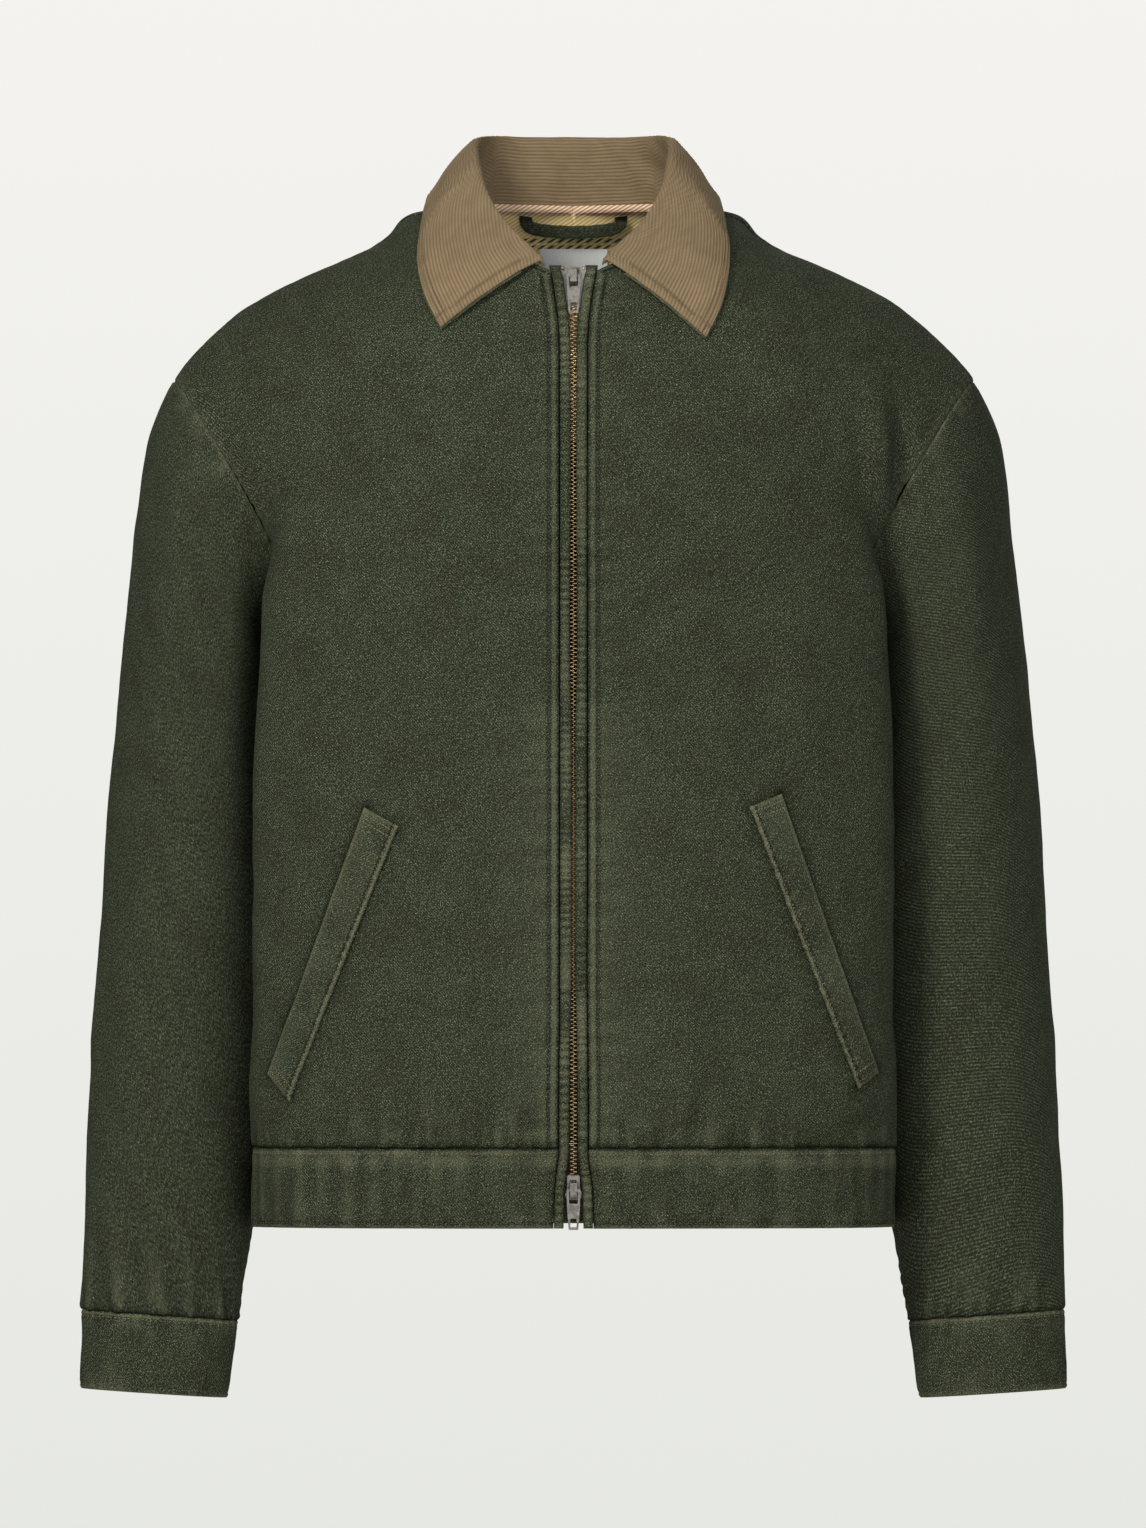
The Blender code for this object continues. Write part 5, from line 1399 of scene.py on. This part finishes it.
# ================================================================ inside the neck
def make_neck():
    make_lining()
    # The label's pale grey is lifted above its own colour: painted light that makes up for the shade inside
    # the neck.
    keep_node("neck_label", plain_cloth("pale_label", (0.88, 0.89, 0.87), 0.9, 0.6))
    make_loop()


def make_lining():
    """Twill facing of the upper back; its top edge reaches up to the collar's stand."""
    made = Wall()
    grids = []
    start = int(np.argmin(np.abs(form().rows - LINING_ROW)))
    columns = int(np.argmin(np.abs(form().shares - LINING_COLUMNS / 8))) + 1
    for side, _ in SIDES:
        part = form().parts["back", side]
        base, normals = part.points[start:, :columns].copy(), part.normals[start:, :columns].copy()
        edge = slice(form().sewn - 1 - start, None)
        level = np.clip((base[..., 2:] + 14) / 8, 0, 1)
        normals = unit(normals * (1 - level) + (unit(base * (1, 1, 0)) * 0.88 + (0, 0, 0.47)) * level)
        base[edge, 0] += (0, 0, 4.4)
        shown = base - normals * (DENIM + SEAM_GAP + LINING_WALL)
        hidden = base - normals * (DENIM + SEAM_GAP + 0.2)
        made.add(hidden, shown, shown[..., ::2], 0 * shown[..., 0], part.flip, keep=1)
        grids.append(base)
    lining = made.piece("neck_facing")
    lining.data.materials.append(lining_twill())
    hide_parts("neck_lining")
    declare_cloth(lining, grids)


def make_loop():
    """Folded denim strip from tack to tack, bowing out from the lining."""
    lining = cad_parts["neck_lining"].data
    tree = BVHTree.FromPolygons([vertex.co / MM for vertex in lining.vertices],
                                [tuple(face.vertices) for face in lining.polygons])

    def behind(x, z):
        return tree.ray_cast(Vector((x, INSIDE, z)), Vector((0, 1, 0)))[0]

    def on_lining(x, z, clear):
        """Point in front of the lining; above its top edge the lining is carried on."""
        level = z - 1.0
        while behind(x, level) is None:
            level -= 1.0
        low, lower = behind(x, level)[1], behind(x, level - 3)[1]
        return np.array((x, low + (low - lower) / 3 * (z - level) - clear, z))

    route = spline(range(len(LOOP)), LOOP, np.linspace(0, len(LOOP) - 1, 97))
    turns = np.linspace(0, math.tau, 25)
    rings = []
    for index, (x, z, clear) in enumerate(route):
        before, after = route[max(index - 1, 0)], route[min(index + 1, len(route) - 1)]
        run = unit(after[:2] - before[:2])
        over = np.array((-run[1], run[0])) * (LOOP_HALF + 0.12 * math.sin(index * 0.9))
        upright = smooth_step(clear / LOOP[len(LOOP) // 2][2])
        ring = []
        for turn in turns:
            share = math.copysign(abs(math.cos(turn)) ** 0.6, math.cos(turn))
            out = math.sin(turn)
            depth = SEAM_GAP + clear + LOOP_WALL * (0.75 + 0.75 * out * (1 if out > 0 else 0.9))
            close = on_lining(x + over[0] * share, z + over[1] * share, depth)
            close[1] += (on_lining(close[0], z, depth)[1] - close[1]) * upright
            ring.append(close)
        rings.append(ring)
    rings = np.array(rings)
    ids = numbered(rings)
    faces = grid_quads(ids) + end_caps(ids)
    run, _, across, _ = edge_distance(rings)
    flat = np.stack((run, across), -1).reshape(-1, 2)
    wear = 0.5 * np.abs(np.cos(turns))[None, :] ** 6 * np.ones((len(rings), 1))
    loop = add_piece("loop_strip", rings.reshape(-1, 3), faces, flat, wear.reshape(-1))
    loop.data.materials.append(denim(0.05))
    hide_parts("hanger_loop")


# ================================================================ sewing on the body
def make_seams():
    green, pale = Thread(), Thread()
    for side, _ in SIDES:
        line, outs = line_at(("front", side), TOPSTITCH, 2)
        rows = form().sewn - 4
        green.row(line[:rows], outs[:rows], 2.9, 2.0, 0.5, 0.1)
        line, outs = line_at(("front_band", side), TOPSTITCH, 2)
        green.row(line, outs, 2.9, 2.0, 0.5, 0.1)
        for key in ("front_band", "back_band"):
            for distance, edge, sewing in ((HEM_STITCH, 0, green), (SEAM_STITCH, 1, pale)):
                line, outs = line_at((key, side), distance, edge)
                sewing.row(line[8:], outs[8:], 3.1, 2.2, 0.55, 0.1)
        line, outs = line_at(("sleeve", side), ARMHOLE_STITCH, 0)
        green.row(line, outs, 3.0, 2.1, 0.5, 0.1)
        for distance, edge, sewing in ((SEAM_STITCH, 0, pale), (HEM_STITCH, 1, green)):
            line, outs = line_at(("cuff", side), distance, edge)
            sewing.row(line, outs, 3.0, 2.1, 0.55, 0.1)
    green.piece("body_stitching", thread("green_thread", (0.085, 0.095, 0.06)))
    pale.piece("seam_stitching", thread("pale_thread", (0.20, 0.17, 0.12)))


# ================================================================ studio
def hung_lamp(lamp, place, aim, watts):
    """Put a lamp in its place, turned to its aim and not seen itself."""
    lamp.energy = watts
    light = bpy.data.objects.new(lamp.name, lamp)
    light.location = place
    light.rotation_euler = (Vector(aim) - Vector(place)).to_track_quat("-Z", "Y").to_euler()
    light.visible_camera = False
    bpy.context.scene.collection.objects.link(light)
    return light


def area_light(name, place, aim, size, watts, colour):
    lamp = bpy.data.lights.new(name, "AREA")
    lamp.shape = "RECTANGLE"
    lamp.size, lamp.size_y = size
    lamp.color = colour
    return hung_lamp(lamp, place, aim, watts)


def neck_spot(place, aim, watts):
    """Narrow soft lamp in front that reaches into the neck."""
    lamp = bpy.data.lights.new("neck_light", "SPOT")
    lamp.spot_size = 0.085
    lamp.spot_blend = 1.0
    lamp.shadow_soft_size = 0.12
    return hung_lamp(lamp, place, aim, watts)


def make_world(look):
    scene = bpy.context.scene
    scene.world = world = bpy.data.worlds.new("studio_air")
    world.use_nodes = True
    nodes, links = world.node_tree.nodes, world.node_tree.links
    direction = nodes.new("ShaderNodeTexCoord").outputs["Generated"]
    parted = nodes.new("ShaderNodeSeparateXYZ")
    links.new(direction, parted.inputs[0])
    height = nodes.new("ShaderNodeMapRange")
    height.inputs["From Min"].default_value = -0.024
    height.inputs["From Max"].default_value = 0.024
    links.new(parted.outputs[2], height.inputs["Value"])
    # Seen by the camera, the backdrop is darker towards the bottom and paler at the top: painted shade and
    # light.
    shade = nodes.new("ShaderNodeMix")
    shade.data_type = "RGBA"
    shade.inputs[6].default_value = (0.795, 0.805, 0.765, 1)
    shade.inputs[7].default_value = (0.905, 0.896, 0.863, 1)
    links.new(height.outputs["Result"], shade.inputs[0])
    ray = nodes.new("ShaderNodeLightPath")
    ambient = nodes.new("ShaderNodeBackground")
    ambient.inputs["Color"].default_value = (0.96, 0.98, 1.0, 1)
    ambient.inputs["Strength"].default_value = look.ambient
    seen = nodes.new("ShaderNodeBackground")
    links.new(shade.outputs[2], seen.inputs["Color"])
    both = nodes.new("ShaderNodeMixShader")
    links.new(ray.outputs["Is Camera Ray"], both.inputs[0])
    links.new(ambient.outputs[0], both.inputs[1])
    links.new(seen.outputs[0], both.inputs[2])
    links.new(both.outputs[0], nodes["World Output"].inputs["Surface"])


def make_stage():
    scene = bpy.context.scene
    look = scene.jacket_studio
    scene.view_settings.view_transform = "Standard"
    scene.view_settings.look = "None"
    turns = np.linspace(0, math.tau, 97)[:-1]
    disc = bpy.data.meshes.new("floor")
    radius = look.floor_radius
    rim = [(radius * math.cos(turn), radius * math.sin(turn), look.floor_height) for turn in turns]
    disc.from_pydata(rim, [], [list(range(len(rim)))])
    floor = bpy.data.objects.new("floor", disc)
    scene.collection.objects.link(floor)
    paint = Surface("floor_paint", (0.72, 0.72, 0.69), 0.9, specular=0.1)
    grain = paint.noise(paint.node("ShaderNodeTexCoord").outputs["Object"], 3.0, 3)
    paint.coloured(paint.mix(paint.span(grain, 0.3, 0.7), (0.71, 0.71, 0.68), (0.73, 0.73, 0.70)))
    disc.materials.append(paint.material)
    lights = [
        area_light("key_light", (-1.55, -2.8, 1.5), (0, 0, -0.35), (0.9, 0.9), look.key,
                   (1.0, 0.99, 0.96)),
        area_light("fill_light", (1.5, -3.4, -0.3), (0, 0, -0.3), (2.4, 1.2), look.fill,
                   (0.98, 0.99, 1.0)),
        neck_spot((0, -2.4, 0.03), (0, 0.08, -0.015), look.neck),
        area_light("top_light", (0, -0.2, 2.6), (0, 0, -0.2), (2.6, 2.2), look.top, (1.0, 1.0, 0.98)),
        area_light("rear_light", (0.4, 3.4, 1.2), (0, 0, -0.3), (2.6, 2.4), look.rear, (1.0, 1.0, 1.0)),
    ]
    camera = bpy.data.objects.new("camera", bpy.data.cameras.new("camera"))
    camera.data.lens = 36 * look.distance / look.field
    camera.data.clip_end = 100
    camera.location = (look.centre[0], -look.distance, look.centre[1])
    camera.rotation_euler = (math.radians(90), 0, 0)
    scene.collection.objects.link(camera)
    scene.camera = camera
    make_world(look)


# ================================================================ settings, operators and panel
class JacketClothSettings(bpy.types.PropertyGroup):
    colour: FloatVectorProperty(name="Denim colour", description="Colour of the dyed warp, linear",
                                default=(0.0170, 0.0212, 0.0100), size=3, min=0, max=1, subtype="COLOR")
    fleck: FloatVectorProperty(name="Fleck colour",
                               description="Colour of the pale weft that shows, linear",
                               default=(0.176, 0.188, 0.132), size=3, min=0, max=1, subtype="COLOR")
    twill: FloatProperty(name="Twill pitch", description="Distance from one diagonal rib to the next",
                         default=0.00135, min=0.0005, max=0.004, unit="LENGTH", subtype="DISTANCE")
    depth: FloatProperty(name="Weave depth", description="Height of the weave's relief",
                         default=0.0003, min=0, max=0.001, unit="LENGTH", subtype="DISTANCE")


class JacketCollarSettings(bpy.types.PropertyGroup):
    colour: FloatVectorProperty(name="Corduroy colour", description="Colour of the pile, linear",
                                default=(0.215, 0.155, 0.088), size=3, min=0, max=1, subtype="COLOR")
    wales: FloatProperty(name="Wale pitch", description="Distance from one wale to the next",
                         default=0.0023, min=0.001, max=0.006, unit="LENGTH", subtype="DISTANCE")


class JacketStudioSettings(bpy.types.PropertyGroup):
    distance: FloatProperty(name="Camera distance",
                            description="From the middle of the neck to the camera",
                            default=20, min=2, max=50, unit="LENGTH", subtype="DISTANCE")
    field: FloatProperty(name="Picture height",
                         description="Height of what the picture shows at the jacket",
                         default=0.94736, min=0.1, max=5, unit="LENGTH", subtype="DISTANCE")
    centre: FloatVectorProperty(name="Picture centre",
                                description="Middle of the picture, across and up",
                                default=(-0.0003, -0.336), size=2, unit="LENGTH", subtype="TRANSLATION")
    floor_height: FloatProperty(name="Floor height", description="Height of the floor below the neck",
                                default=-0.88, min=-3, max=0, unit="LENGTH", subtype="DISTANCE")
    floor_radius: FloatProperty(name="Floor radius", description="Radius of the round floor",
                                default=2.5, min=0.5, max=10, unit="LENGTH", subtype="DISTANCE")
    key: FloatProperty(name="Key light", description="Power of the large light at the upper left",
                       default=104, min=0, unit="POWER", subtype="POWER")
    fill: FloatProperty(name="Fill light", description="Power of the light at the right",
                        default=52, min=0, unit="POWER", subtype="POWER")
    top: FloatProperty(name="Top light", description="Power of the light overhead",
                       default=10, min=0, unit="POWER", subtype="POWER")
    rear: FloatProperty(name="Rear light", description="Power of the light behind",
                        default=34, min=0, unit="POWER", subtype="POWER")
    neck: FloatProperty(name="Neck light", description="Power of the narrow light into the neck",
                        default=62, min=0, unit="POWER", subtype="POWER")
    ambient: FloatProperty(name="Ambient light", description="Strength of the light from all round",
                           default=0.28, min=0, unit="NONE", subtype="FACTOR")


class JACKET_OT_stage(bpy.types.Operator):
    """Lay the floor and set up lights, camera and air"""
    bl_idname = "jacket.stage"
    bl_label = "Studio"

    def execute(self, context):
        make_stage()
        return {"FINISHED"}


class JACKET_OT_fronts(bpy.types.Operator):
    """Make both front panels and the waistband below them"""
    bl_idname = "jacket.fronts"
    bl_label = "Fronts and waistband"

    def execute(self, context):
        make_fronts()
        return {"FINISHED"}


class JACKET_OT_back(bpy.types.Operator):
    """Make the back panel and the waistband below it"""
    bl_idname = "jacket.back"
    bl_label = "Back and waistband"

    def execute(self, context):
        make_back()
        return {"FINISHED"}


class JACKET_OT_sleeves(bpy.types.Operator):
    """Make both sleeves with their cuffs"""
    bl_idname = "jacket.sleeves"
    bl_label = "Sleeves and cuffs"

    def execute(self, context):
        make_sleeves()
        return {"FINISHED"}


class JACKET_OT_collar(bpy.types.Operator):
    """Make the corduroy collar with its wales, its denim facing and its stitching"""
    bl_idname = "jacket.collar"
    bl_label = "Collar"

    def execute(self, context):
        make_collar()
        return {"FINISHED"}


class JACKET_OT_neck(bpy.types.Operator):
    """Finish the lining, the blank label and the hanger loop inside the neck"""
    bl_idname = "jacket.neck"
    bl_label = "Inside of the neck"

    def execute(self, context):
        make_neck()
        return {"FINISHED"}


class JACKET_OT_welts(bpy.types.Operator):
    """Make the slanted pocket welts with their stitching"""
    bl_idname = "jacket.welts"
    bl_label = "Pocket welts"

    def execute(self, context):
        make_welts()
        return {"FINISHED"}


class JACKET_OT_zip(bpy.types.Operator):
    """Make the zip's edge bands and teeth and finish its sliders, tabs, stops and tapes"""
    bl_idname = "jacket.zip"
    bl_label = "Zip"

    def execute(self, context):
        make_zip_bands()
        make_zip_metal()
        return {"FINISHED"}


class JACKET_OT_seams(bpy.types.Operator):
    """Sew the rows of stitches on body, waistband, sleeves and cuffs"""
    bl_idname = "jacket.seams"
    bl_label = "Seams"

    def execute(self, context):
        make_seams()
        return {"FINISHED"}


OPERATORS = (JACKET_OT_stage, JACKET_OT_fronts, JACKET_OT_back, JACKET_OT_sleeves, JACKET_OT_collar,
             JACKET_OT_neck, JACKET_OT_welts, JACKET_OT_zip, JACKET_OT_seams)


class JACKET_PT_panel(bpy.types.Panel):
    """Jacket's pieces in the order in which they are made"""
    bl_idname = "JACKET_PT_panel"
    bl_label = "Denim jacket"
    bl_space_type = "VIEW_3D"
    bl_region_type = "UI"
    bl_category = "Jacket"

    def draw(self, context):
        for group, settings in SETTINGS:
            for name in settings.__annotations__:
                self.layout.prop(getattr(context.scene, group), name)
        for operator in OPERATORS:
            self.layout.operator(operator.bl_idname)


SETTINGS = (("jacket_cloth", JacketClothSettings), ("jacket_collar", JacketCollarSettings),
            ("jacket_studio", JacketStudioSettings))


def register():
    for name, settings in SETTINGS:
        bpy.utils.register_class(settings)
        setattr(bpy.types.Scene, name, PointerProperty(type=settings))
    for entry in (*OPERATORS, JACKET_PT_panel):
        bpy.utils.register_class(entry)


def unregister():
    for entry in (JACKET_PT_panel, *reversed(OPERATORS)):
        bpy.utils.unregister_class(entry)
    for name, settings in reversed(SETTINGS):
        delattr(bpy.types.Scene, name)
        bpy.utils.unregister_class(settings)


def main():
    register()
    for operator in OPERATORS:
        getattr(bpy.ops.jacket, operator.bl_idname.split(".")[1])()


if __name__ == "__main__":
    main()
